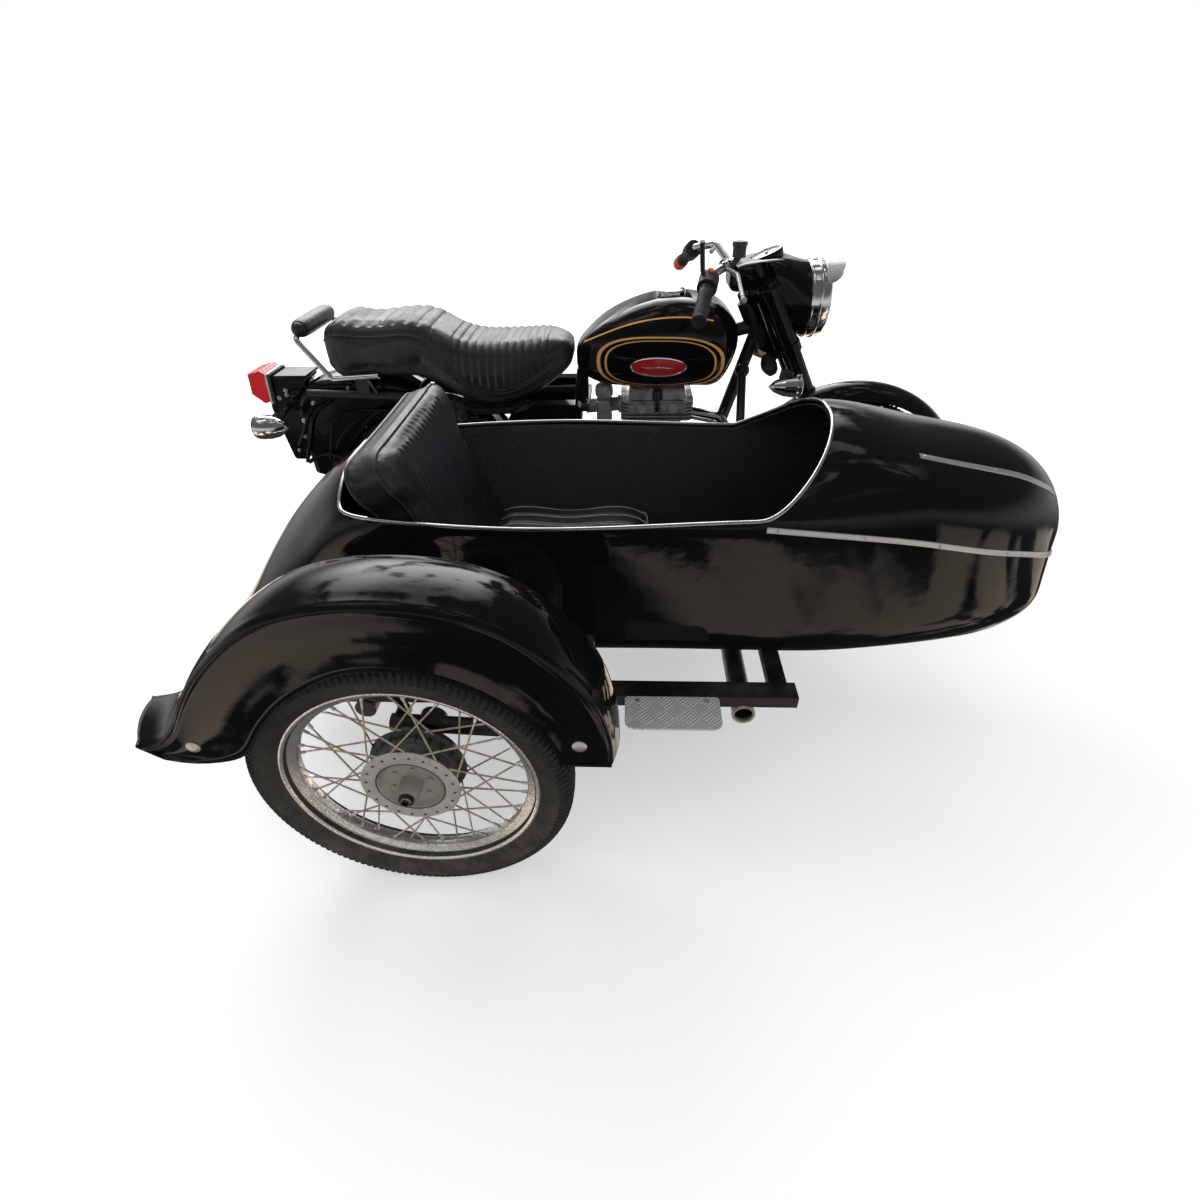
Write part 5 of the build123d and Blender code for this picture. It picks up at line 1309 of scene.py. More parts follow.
def dual_seat():
    """The dual seat: ribbed pillion top, pleated rider's hollow and welts along its edges."""
    sizes = bpy.context.scene.motorcycle_sizes
    shape = lofted(SEAT_ROWS, 120, (26, 20), 5.0)
    seat = swelled("dual_seat_cover", shape, 3.0, 0.004, 0.007)

    def height(points, normals):
        forward = points[:, 0] * 1000 - REAR_AXLE_X
        left = points[:, 1] * 1000 - BIKE_Y
        up = points[:, 2] * 1000
        half, low, top = seat_row(np.clip(forward, SEAT_ROWS[0, 0], SEAT_ROWS[-1, 0]))
        wave, inside = channel(forward, *PILLION, sizes.ribs)
        on_top = np.clip((half - 20 - np.abs(left)) / 10, 0, 1) * (normals[:, 2] > 0.3)
        ribs = (wave - 0.9) * inside * on_top * 0.0068
        wave, inside = channel(forward, *RIDER, sizes.pleats)
        hem = hem_height(forward)
        above = np.clip((up - hem) / 8, 0, 1) * (normals[:, 2] > -0.5)
        pleats = (wave - 0.85) * inside * above * 0.0065
        sideways = np.abs(normals[:, 1])
        hemmed = 0.0022 * seam(up - hem, 4.0) * (sideways > 0.4) * (forward > 90)
        edged = 0.0022 * seam(up - (top - 26), 4.0) * (sideways > 0.3) * (forward < 110)
        footed = 0.0015 * seam(up - low - 18, 4.0) * (sideways > 0.5)
        return ribs + pleats - hemmed - edged - footed

    cushion(seat, height, "dual_seat")
    shapes = []

    def welt(forward, left, up, lift, thick, sides=10):
        shapes.append(tube(snapped(at(forward, left, up), seat, lift), sizes.piping * thick, sides))

    for side in (-1, 1):
        forward = np.linspace(-236, 150, 90)
        half, _, top = seat_row(forward)
        drop = 26 + 30 * np.clip((forward - 60) / 90, 0, 1) ** 2
        welt(forward, side * half, top - drop, 0.0006, 1.0)
        forward = np.linspace(96, 470, 90)
        half, _, _ = seat_row(forward)
        for drop in (0, -11):
            welt(forward, side * half, hem_height(forward) + drop, 0.0004, 0.8)
        forward = np.linspace(-240, 470, 130)
        half, low, _ = seat_row(forward)
        welt(forward, side * half, low + 18, 0.0002, 0.75)
    for place in (*PILLION, *RIDER):
        half, _, top = seat_row([place])
        across = np.linspace(-1, 1, 60) * (half - 4)
        bent = top - 32 * np.clip((np.abs(across) - half + 36) / 32, 0, 1) ** 2
        welt(place, across, bent, 0.0, 0.7, 8)
    piece("dual_seat_piping", shapes, "black_welt", "dual_seat", out=False)


def hem_height(forward):
    """Where the rider's pleats end on the seat's side: a long curve dipping under the thigh."""
    return spline([90, 180, 260, 350, 430, 480], [838, 762, 728, 744, 790, 815], forward)


def backrest():
    """The pillion's small back roll: a capsule with a sewn seam round each end."""
    half = 132.0
    along = half * np.sin(np.linspace(-pi / 2, pi / 2, 60))
    reach = 27.0 * (1 - np.abs(along / half) ** 7) ** 0.5
    turn = np.linspace(0, 2 * pi, 40, endpoint=False)
    reach, along = reach[:, None], along[:, None]
    points = at(-294 + reach * np.cos(turn), along, 897 + reach * np.sin(turn))
    roll = swelled("backrest_roll", points, 3.0, 0.0025, 0.0045)

    def height(points, _):
        return -0.0022 * seam(np.abs(points[:, 1] * 1000 - BIKE_Y) - 112, 3.0)

    cushion(roll, height, "backrest_pad")


CUSHION = (295.5, 725.5, 210.0, 430.3, 522.3)


def sidecar_cushion():
    """The passenger's cushion: a crowned box with fore-and-aft piping over its top and front."""
    back, front, half, low, high = CUSHION
    rows = np.array([(back + 2, half - 10, low + 8, high - 12, 20),
                     (back + 22, half - 3, low + 1, high - 5, 22),
                     ((back + front) / 2, half - 2, low + 1, high - 3, 22),
                     (front - 24, half - 3, low + 1, high - 6, 24),
                     (front - 3, half - 10, low + 8, high - 14, 22)])
    shape = lofted(rows, 70, (18, 18), 9.0)
    shape[..., 1] += BODY_LINE / 1000
    lean = (REAR_AXLE_X + BACK_FOOT[0] + 8) / 1000 - tan(BACK_LEAN) * (shape[..., 2] - BACK_FOOT[1] / 1000)
    shape[..., 0] = np.maximum(shape[..., 0], lean)
    pad = swelled("passenger_cushion", shape, 3.5, 0.005, 0.007)
    count = bpy.context.scene.sidecar_sizes.cushion_pipes
    lines = np.linspace(-half + 34, half - 34, count)

    def height(points, normals):
        left = points[:, 1] * 1000 - BIKE_Y - BODY_LINE
        gap = np.abs(left[:, None] - lines[None]).min(1)
        shown = np.clip((normals[:, 2] + 0.1) / 0.3, 0, 1) + np.clip(np.abs(normals[:, 0]) - 0.5, 0, 0.5) * 2
        return -0.004 * seam(gap, 5.5) * np.clip(shown, 0, 1)

    cushion(pad, height, "sidecar_seat_cushion")
    radius = bpy.context.scene.motorcycle_sizes.piping * 0.9
    # over the top, round the nose and down the front: each run's ends and how many points it has
    runs = (((back + 34, high), (front - 18, high), 50), ((front - 12, high - 4), (front - 3, high - 22), 8),
            ((front - 1, high - 28), (front - 1, low + 16), 20))
    over = np.concatenate([np.linspace(start, end, count) for start, end, count in runs])
    shapes = [tube(snapped(at(over[:, 0], BODY_LINE + x, over[:, 1]), pad, 0.0004), radius, 8) for x in lines]
    edge, nose = half - 3, front - 3
    for level in (high - 14, low + 12):
        rear = back + 16 + (high - level) * tan(BACK_LEAN)
        box = rounded([(rear, -edge), (nose, -edge), (nose, edge), (rear, edge)], 26, 8, True)
        box = even(box, 220, True)
        path = snapped(at(box[:, 0], BODY_LINE + box[:, 1], level), pad, 0.0004)
        shapes.append(tube(path, radius, 8, closed=True))
    piece("passenger_cushion_piping", shapes, "welt_cord", "sidecar_seat_cushion", out=False)


BACK_FOOT, BACK_LEAN, BACK_THICK = (334.6, 446.0), radians(19.3), 90.0


def back_point(left, along, out):
    """A place on the seat back: left of its middle, up along it and out from its front face."""
    forward = BACK_FOOT[0] - sin(BACK_LEAN) * along + cos(BACK_LEAN) * out
    return at(forward, BODY_LINE + left, BACK_FOOT[1] + cos(BACK_LEAN) * along + sin(BACK_LEAN) * out)


def sidecar_seat_back():
    """The seat back: a padded face of upright sewn channels between smooth bolsters, and a
    plain boxing band behind it that runs from a front welt to a rear one."""
    half = [(-203, 4), (-222, 330), (-251, 366), (-251, 437)]
    outline = np.array(half + [(-x, z) for x, z in half[::-1]])
    rim = even(rounded(outline, [14, 26, 22, 66, 66, 22, 26, 14], 14, True), 190, True)
    middle = np.array([0.0, 250.0])
    out = rim - middle
    reach = np.linalg.norm(out, axis=1, keepdims=True)
    # each ring is the rim drawn in by some millimetres, at a depth behind the front face
    steps = [(9, -BACK_THICK + 3), (2, -BACK_THICK + 8), (0, -BACK_THICK + 16), (3, -60), (4, -38), (2, -22),
             (0, -14), (3, -7), (9, -2), (18, 2), (34, 5)]
    rings = [(middle + out * k, -BACK_THICK + 1 + 0 * k) for k in (0.0, 0.35, 0.7, 0.9)]
    rings += [(rim - out / reach * draw, depth) for draw, depth in steps]
    rings += [(middle + out * k, 6 + 5 * (1 - k * k)) for k in (0.78, 0.6, 0.4, 0.2, 0.0)]
    points = np.stack([back_point(p[:, 0], p[:, 1], h) for p, h in rings])
    pad = swelled("passenger_seat_back", points, 3.0, 0.004, 0.006)
    count = bpy.context.scene.sidecar_sizes.back_pleats
    panel = 152.0

    def height(points, normals):
        left = points[:, 1] * 1000 - BIKE_Y - BODY_LINE
        wave, inside = channel(left, -panel, panel, count)
        lean = normals[:, 0] * cos(BACK_LEAN) + normals[:, 2] * sin(BACK_LEAN)
        front = np.clip((lean - 0.84) / 0.12, 0, 1)
        return ((wave - 0.9) * inside * 0.0080 - seam(np.abs(left) - panel, 3.5) * 0.002) * front

    cushion(pad, height, "sidecar_seat_back")
    radius = bpy.context.scene.motorcycle_sizes.piping
    shapes = []
    for draw, depth in ((1.0, -12.0), (1.0, -BACK_THICK + 10)):
        loop = rim - out / reach * draw
        path = snapped(back_point(loop[:, 0], loop[:, 1], depth), pad, 0.0018)
        shapes.append(tube(calm(path), radius * 1.25, 10, closed=True))
    piece("passenger_seat_back_piping", shapes, "black_welt", "sidecar_seat_back", out=False)


# ---------------------------------------------------------------- tank
def tank_line(f, p):
    """The tank's gold lining: two ovals on each side and a line that sweeps over the shoulder.

    An oval is where the distance from a rounded centre equals its reach, within half a line.
    """
    x, y, z = f.split(p)
    forward, up = x * 1000 - REAR_AXLE_X, z * 1000
    width = bpy.context.scene.motorcycle_sizes.line_width * 1000
    u, v = (forward - 755) / 180, (up - 796) / 76
    reach = (abs(u) ** 2.5 + abs(v) ** 2.5) ** 0.4
    outer = abs(reach - 1.0) < width * 0.0082
    inner = abs(reach - 0.88) < width * 0.0048
    side = abs(y * 1000 - BIKE_Y) > 60
    rise = (forward - 800) / 290
    top = 921 - rise * rise * 93
    sweep = (abs(up - top) < width * 0.5) * (forward < 900) * side
    return (outer.most(inner) * side).most(sweep)


def fuel_tank():
    """The tank: rounded sections lofted fore and aft, with its seam underneath."""
    shape = lofted(TANK_ROWS, 150, (18, 18), 3.0)
    piece("fuel_tank_shell", sheet(shape, False, True), "lined_paint", "fuel_tank", True, crease=60)


def tank_side(forward, up):
    """The tank's half width there: its straight side, or the corner's quarter circle above or below."""
    row = spline(TANK_ROWS[:, 0], TANK_ROWS, np.atleast_1d(forward))
    _, half, low, high, corner = row.T
    corner = np.minimum(corner, np.minimum(half, (high - low) / 2) * 0.98)
    past = np.clip(np.maximum(up - (high - corner), low + corner - up), 0, corner)
    return half - corner + np.sqrt(corner**2 - past**2)


def tank_badges():
    """A plain oval plaque on each side, bent to the tank: a bright rim, red enamel, a raised bar."""
    turn = np.linspace(0, 2 * pi, 96, endpoint=False)
    # each oval's half length, half height and distance out from the tank
    rim = [(76, 23, -3), (84, 30, -3), (84, 30, 3.6), (82.6, 28.8, 5.6), (79.6, 26.2, 6), (77.2, 24, 4.2),
           (76, 23, 2)]
    field = [(0.1, 0.1, 4.4), (26, 7, 4.3), (52, 15, 3.8), (77.6, 24.4, 2.8), (77.6, 24.4, -3)]
    bar = [(0.1, 0.1, 6.8), (46, 1.6, 6.4), (50, 2.8, 5.0), (50.4, 3.1, 2.0)]
    for side, name in ((-1, "right"), (1, "left")):

        def ovals(rings, closed=False):
            points = []
            for half_long, half_tall, out in rings:
                forward, up = 750 + half_long * np.cos(turn), 790 + half_tall * np.sin(turn)
                points.append(at(forward, side * (tank_side(forward, up) + out), up))
            return sheet(np.stack(points), closed, True)

        piece(f"plaque_rim_{name}", [ovals(rim, True), ovals(bar)], "chrome", "tank_badges", True)
        piece(f"plaque_field_{name}", ovals(field), "enamel", "tank_badges")


# ---------------------------------------------------------------- lamp, dial and bars
def dial_face():
    """A cream dial face with plain division marks round it."""
    f = Finish("dial_face", (0.8, 0.78, 0.7))
    p = f.place()
    x, y, _ = f.split(p)
    u, v = x * 1000 - REAR_AXLE_X - DIAL[0], y * 1000 - BIKE_Y
    reach = (u * u + v * v) ** 0.5
    step, share_inked = radians(12), 0.16
    tick = ((v.angle(u) / step).modulo(1.0) < share_inked) * (reach > 28) * (reach < 35)
    circle = abs(reach - 21) < 0.5
    return f.set(Base_Color=f.mix(tick.most(circle), (0.78, 0.75, 0.66), (0.03, 0.03, 0.03)), Roughness=0.3)


LAMP, REAR_LAMPS = (1168.0, 0.0, 939.0), (-480, 172, 628)
FORK_TILT = radians(27)
DIAL, DIAL_TILT = (1052.0, 0.0, 1046.0), radians(22)


def headlamp():
    """The lamp: a chrome rim of two bands, a bulged glass over a bowl, and a chrome peak.

    The peak is an arc of a circle over the rim; how far it reaches falls off as an ellipse does.
    """
    rim = [(-1, 86.5), (-2, 99), (1, 102.5), (23, 103), (24.5, 105), (27, 106), (29.5, 105), (31, 103),
           (47, 101.8), (53, 98.5), (56.5, 93), (57, 90), (55, 88), (50, 87), (47, 86.5), (-1, 86.5)]
    ridge = [(4, 102), (4, 103.6), (5.5, 104.2), (7, 103.6), (7, 102)]
    half_arc, root = radians(58), 40
    turn = np.linspace(-half_arc, half_arc, 61)[:, None]
    out = np.linspace(0, 1, 22)[None]
    reach = 44 + 56 * np.sqrt(np.clip(1 - (turn / half_arc) ** 2, 0, 1))
    radius = 104.4 - 1.2 * out**2
    along = root + (reach - root) * out
    peak = at(LAMP[0] + along, radius * np.sin(turn), LAMP[2] + radius * np.cos(turn))
    peak_wall, glass_radius = 0.0016, 86.4
    shapes = [turned(rim, LAMP, FORWARD, 96), turned(ridge, LAMP, FORWARD, 96),
              tube(peak[:, -1], peak_wall, 8)]
    piece("headlamp_rim_bands", shapes, "chrome", "headlamp_rim", True)
    piece("headlamp_peak", sheet(peak), "bright_trim", "headlamp_rim", wall=peak_wall)
    r = np.linspace(glass_radius, NEARLY_0, 16)
    front = np.stack([50 + 15 * (1 - (r / glass_radius) ** 2), r], -1)
    glass = np.concatenate([front, front[::-1] - (3, 0)])
    piece("headlamp_lens", turned(glass, LAMP, FORWARD, 72), "lamp_glass", "headlamp_glass", True)
    bowl = [(46, 86), (38, 80), (26, 68), (14, 50), (7, 32), (5, 16), (5, NEARLY_0)]
    bulb = [(5, 9), (22, 9), (28, 7), (31, 3), (31.5, NEARLY_0)]
    piece("headlamp_bowl", [turned(bowl, LAMP, FORWARD, 64), turned(bulb, LAMP, FORWARD, 20)], "chrome",
          "headlamp_rim", wall=0.0012, out=False)


def speedometer():
    """The dial: a black case with a bright bezel, a cream face and a needle."""
    axis = (-sin(DIAL_TILT), 0, cos(DIAL_TILT))
    case = [(-19, NEARLY_0), (-19, 43), (6, 45), (11, 45.4), (14, 44), (15, 41.5), (13, 39.5), (10.5, 39),
            (10.5, NEARLY_0)]
    piece("speedometer_case", turned(case, DIAL, axis, 64), "gloss_paint", "speedometer", True)
    bezel = [(12, 38.6), (14.6, 38.8), (15.8, 40.2), (15.2, 42), (13.4, 42.8), (12, 42)]
    piece("speedometer_bezel", turned(bezel + bezel[:1], DIAL, axis, 64), "chrome", "speedometer")
    face = [(10, NEARLY_0), (11.2, NEARLY_0), (11.2, 38.8), (10, 38.8)]
    piece("speedometer_face", turned(face, DIAL, axis, 64), "dial", "speedometer")
    tip = at(*DIAL) + np.array(axis) * 0.0135
    way = np.array([cos(DIAL_TILT), 0, sin(DIAL_TILT)]) * 0.6 + np.array([0, 0.8, 0])
    needle = np.stack([tip - way * 0.008, tip, tip + way * 0.030])
    boss = turned([(11, 4), (14.4, 4), (15, 2.5), (15, NEARLY_0)], DIAL, axis, 16)
    shapes = [tube(needle, 0.0008, 6, size=[1.6, 1.3, 0.4]), boss]
    piece("speedometer_needle", shapes, "black_plastic", "speedometer")


def bar_fittings():
    """Ribbed grips with flanged ends, the red cap and switch on the left one, the brake's cap
    and the clamps."""
    shapes = []
    for side in (-1, 1):
        end = np.array([832.0, side * 400.0, 972.0])
        way = np.array([868.0, side * 240.0, 1042.0]) - end
        way /= np.linalg.norm(way)
        along = np.linspace(4, 112, 109)
        pitch, tall = 6.0, 0.9
        ribs = 17.0 + tall * (np.sin(along * 2 * pi / pitch) > 0) * (along < 100)
        grip = [(-3, NEARLY_0), (-3, 7), (-1, 8), (-1, 13), (-4, 15), (-4, 18), (0, 19.6), (3, 18.6),
                *zip(along, ribs), (113, 18.4), (118, 18.6), (120, 16)]
        shapes.append(turned(grip, end, way, 32))
        if side > 0:
            cap = [(-6, NEARLY_0), (-6, 14), (-4, 19), (2, 21), (40, 21), (44, 19), (44, 17)]
            piece("left_grip_cap", turned(cap, end, way, 32), "red_grip", "grips_and_switches")
            knob = [(11, NEARLY_0), (11, 7), (9, 9), (0, 9), (0, NEARLY_0)]
            switch = turned(knob, (866, -262, 1052), (0.2, -0.3, 0.93), 16)
            piece("kill_switch", switch, "red_grip", "grips_and_switches")
    piece("bar_grips", shapes, "rubber", "grips_and_switches")
    cap = [(0, NEARLY_0), (0, 18.5), (3, 19.5), (9, 19.5), (12, 17.5), (12, NEARLY_0)]
    piece("brake_reservoir_cap", turned(cap, (944, -188, 1100), (0, 0, 1), 8), "black_plastic",
          "brake_reservoir_and_mirror_stem")
    shapes = both(lambda side: boxed((948, side * 34 - 9, 1000), (986, side * 34 + 9, 1034), 6, 3))
    ring_shape = [(0, 13), (0, 15), (14, 15), (14, 13), (0, 13)]
    shapes.append(turned(ring_shape, (913, -187, 1058), (-0.5, -0.75, 0.1), 24))
    piece("bar_clamps", shapes, "chrome", "handlebar")


def fork_fittings():
    """Rings round the fork's shrouds, the indicators' boots, lenses and rims, a bare horn and
    its bracket."""
    axis = (-sin(FORK_TILT), 0, cos(FORK_TILT))
    band = [(-7, 26.5), (-7, 29.5), (-4, 31.5), (4, 31.5), (7, 29.5), (7, 26.5), (-7, 26.5)]
    shapes = []
    for up in (700, 984):
        ahead = AXLES["front"][0] - (up - AXLES["front"][2]) * tan(FORK_TILT)
        shapes += both(lambda side: turned(band, (ahead, side * 100, up), axis, 40))
    piece("fork_rings", shapes, "gloss_paint", "fork")
    boot = [(0, NEARLY_0), *((k * 3.0, 17 + 2.2 * (k % 2)) for k in range(9)), (25, NEARLY_0)]
    for name, place, lean in (("front", (1108, 178, 762), (0.2, 0, 1)),
                              ("rear", (-430, 150, 636), (0, -1, 0.15))):
        shapes = []
        for side in (-1, 1):
            mirror = np.array([1, side, 1])
            shapes.append(turned(boot, place * mirror, lean * mirror, 24))
        piece(f"{name}_lamp_boots", shapes, "rubber", f"{name}_indicators")
    lens = [(0, NEARLY_0), (0, 27), (2, 29), (6, 26), (10, 16), (11.5, NEARLY_0)]
    rim = [(-4, 29), (-4, 33.4), (0, 34), (3, 32.5), (3, 29), (-4, 29)]
    for name, ahead, left, up, way in (("front", 1150, 185, 744, 1), ("rear", *REAR_LAMPS, -1)):
        shapes = both(lambda side: turned(lens, (ahead - way, side * left, up), (way, 0, 0), 32))
        piece(f"{name}_indicator_lenses", shapes, "amber_lens", f"{name}_indicators")
        shapes = both(lambda side: turned(rim, (ahead, side * left, up), (way, 0, 0), 40))
        piece(f"{name}_indicator_rings", shapes, "chrome", f"{name}_indicators")
    ahead, left, up = REAR_LAMPS
    egg = [(0, NEARLY_0), (0, 30), (2, 34.5), (9, 37), (26, 38), (48, 35.5), (68, 29), (84, 19), (95, 8),
           (98, NEARLY_0)]
    shapes = both(lambda side: turned(egg, (ahead, side * left, up), FORWARD, 48))
    piece("rear_indicator_shells", shapes, "chrome", "rear_indicators")
    horn = [(0, NEARLY_0), (0, 30), (4, 33), (16, 33), (22, 26), (30, 14), (34, NEARLY_0)]
    shapes = [turned(horn, (1092, -52, 770), (-0.86, -0.4, -0.3), 32),
              pipe([(1085, -50, 775), (1120, -40, 800), (1140, -30, 830)], 6)]
    piece("horn", shapes, "black_plastic", "fork")


# ---------------------------------------------------------------- engine and tail
PLUG = [(9, NEARLY_0), (9, 12), (6, 15), (0, 15), (0, NEARLY_0)]


def engine_top():
    """Rounded rocker covers with ribs, one behind the other, hoses, a gasket, and the inlet's
    bowl and top."""
    shapes = []
    for low, high in ((666, 742), (762, 838)):
        shapes.append(boxed((low, -88, 668), (high, 88, 704), 20, 7))
        shapes.append(boxed((low - 5, -92, 636), (high + 5, 92, 664), 22, 4))
        for up in (640, 654, 668):
            shapes.append(boxed((low - 9, -95, up - 2), (high + 9, 95, up + 2), 24, 1.2))
        shapes.append(domes([(low + 12, -84, 704), (high - 12, -84, 704)], 6, (0, 0, 1)))
        shapes.append(turned(PLUG, ((low + high) / 2, -92, 650), (0, -1, 0), 20))
    piece("rocker_covers", shapes, "rocker_alloy", "engine_barrel")
    # the last of these, a black block filling the gap between the rocker covers, is painted shade
    hoses = [pipe([(-20, -48, 590), (60, -50, 610), (170, -50, 668), (300, -50, 650), (420, -52, 640)], 17),
             pipe([(10, -46, 650), (90, -48, 672), (200, -52, 640), (330, -50, 652), (400, -52, 606)], 15),
             boxed((743, -92, 640), (761, -60, 703), 4, 2)]
    piece("hoses_and_gap_shade", hoses, "rubber", "bike_frame")
    dome = [(-6, NEARLY_0), (-6, 27), (8, 28), (22, 26), (28, 20), (30, 8), (30, NEARLY_0)]
    bowl = [(0, NEARLY_0), (0, 24), (20, 24), (30, 18), (34, 8), (34, NEARLY_0)]
    shapes = [turned(dome, (588, -52, 686), (0, 0, 1), 32), turned(bowl, (588, -52, 622), (0, 0, -1), 32),
              boxed((570, -84, 636), (606, -20, 668), 8, 3), domes([(576, -86, 660), (600, -86, 646)], 5),
              turned([(0, 23), (0, 27), (8, 27), (8, 23), (0, 23)], (632, -42, 648), (1, 0.1, 0), 28)]
    piece("inlet_body", shapes, "rocker_alloy", "carburettor")


REAR_CROWN = rounded([(-402, 432), (-402, 738), (-60, 738), (10, 706)], [0, 150, 50, 0], 16)


def rear_guard():
    """The rear mudguard: a rounded crown between side sheets that end on a circle round the wheel."""
    crown = even(REAR_CROWN, 110)
    axle, arch_radius = np.array(AXLES["rear"])[[0, 2]], 352.0
    way = crown - axle
    arch = axle + way / np.linalg.norm(way, axis=1, keepdims=True) * arch_radius
    shell = guard_shell(crown, arch, -72.0, 72.0, 26.0, 3.0)
    piece("rear_mudguard_skin", shell, "gloss_paint", "rear_mudguard", True, 0.003, out=False, crease=60)
    loop = [(-419, 528), (-377, 598), (-338, 652), (-294, 677), (-241, 688), (-159, 695), (-63, 700)]
    bead = [(-330, 480), (-310, 545), (-287, 600), (-253, 630), (-205, 642), (-124, 645), (-60, 640)]
    shapes = [pipe([(f, side * 74, u) for f, u in line], radius)
              for side in (-1, 1) for line, radius in ((loop, 6.0), (bead, 4.6))]
    liner = [(-56, 322), (-71, 353), (-60, 357), (60, 357), (71, 353), (56, 322), (53, 322), (66, 351),
             (58, 354), (-58, 354), (-66, 351), (-53, 322), (-56, 322)]
    arc = (-radians(170), -radians(40))
    shapes.append(lathe(np.asarray(liner) / 1000, at(*AXLES["rear"]), (0, 1, 0), 72, arc))
    shapes.append(pipe([(-402, -78, 470), (-330, -80, 500), (-250, -82, 470), (-140, -84, 430)], 6.5))
    shapes.append(pipe([(-410, -74, 470), (-372, -80, 560), (-330, -78, 640), (-270, -76, 676)], 6.0))
    piece("rear_mudguard_beads", shapes, "gloss_paint", "rear_mudguard")
    bolts = domes([(-208, -74, 712), (-334, -74, 666), (-379, -74, 611), (-395, -74, 560)], 6)
    piece("rear_mudguard_bolts", bolts, "chrome", "rear_mudguard")


def tail_fittings():
    """The tail lamp's bezel, gasket and rib, and the carrier's screws and folded edges."""
    half_thick = np.array([0.004, 0, 0])
    for name, look, slot, grow, ahead in (("bezel", "bright_trim", "chrome", 4.0, -472),
                                          ("gasket", "rubber", "rubber", 1.5, -464)):
        wide, low, high = 56 + grow, 660 - grow, 750 + grow
        loop = rounded([(-wide, low), (wide, low), (wide, high), (-wide, high)], 12, 6, True)
        places = at(ahead + (loop[:, 1] - 700) * 0.085, loop[:, 0], loop[:, 1])
        layer = slab(places, -half_thick, half_thick, 0.0015)
        piece(f"tail_lamp_{name}", layer, look, "tail_lamp")
    # painted highlight: a pale pink rod laid along the lens's upper rear edge
    lens_edge_highlight = tube(at(-529.5, np.linspace(-50, 50, 30), 751), 0.0022, 8)
    piece("tail_lamp_edge_highlight", lens_edge_highlight, "highlight_pink", "tail_lamp")
    bolts = domes([(-452, -49, 676), (-424, -49, 700), (-424, -49, 686), (-440, -49, 500)], 5)
    piece("carrier_bolts", bolts, "chrome", "tail_carrier")
    shapes = [boxed((-476, -50, 738), (-344, 50, 746), 4, 2),
              pipe([(-478, -49.5, 712), (-410, -49.5, 712), (-352, -49.5, 712)], 2.4)]
    piece("carrier_edges", shapes, "gloss_paint", "tail_carrier")


# ---------------------------------------------------------------- sidecar fittings
def step_plate():
    """The step: a chequered plate with rounded corners, and two bolts."""
    corners = [(662, -1105), (871, -1105), (871, -1009), (662, -1009)]
    tread = plate(corners, 321.2, 325.2, [26, 26, 8, 8], 1.2, 8)
    piece("step_plate", tread, "step_alloy", "sidecar_step", True)
    bolts = domes([(690, -1022, 325), (844, -1022, 325)], 5.5, (0, 0, 1))
    piece("step_bolts", bolts, "steel", "sidecar_step")


def chassis_fittings():
    """A bright ring in the open cross tube, the shock's ribbed boot and its clamps."""
    ring_shape = [(-1, 20.5), (-2.5, 22), (-2.5, 25), (0, 26.5), (8, 26.5), (9, 25), (9, 21), (7, 20.5),
                  (-1, 20.5)]
    piece("tube_end_ring", turned(ring_shape, (930, -1012, 274), (0, 1, 0), 40), "worn_steel",
          "sidecar_frame")
    long, folds = 178, 13
    along = np.linspace(0, long, 120)
    ribs = 25.5 + 5.5 * np.abs(np.sin(along / long * folds * pi)) ** 0.7
    boot = [(0, NEARLY_0), (0, 24), *zip(along + 1, ribs), (180, 24), (180, NEARLY_0)]
    piece("shock_boot", turned(boot, (175, -1065, 392), (0, 0, 1), 36), "rubber", "sidecar_shock")


def wheels():
    """The three wheels; the sidecar's has its open side outwards."""
    for wheel in AXLES:
        tyre(wheel)
    for wheel in AXLES:
        wire_wheel(wheel, -1.0 if wheel == "sidecar" else 1.0)
    hub_fittings()


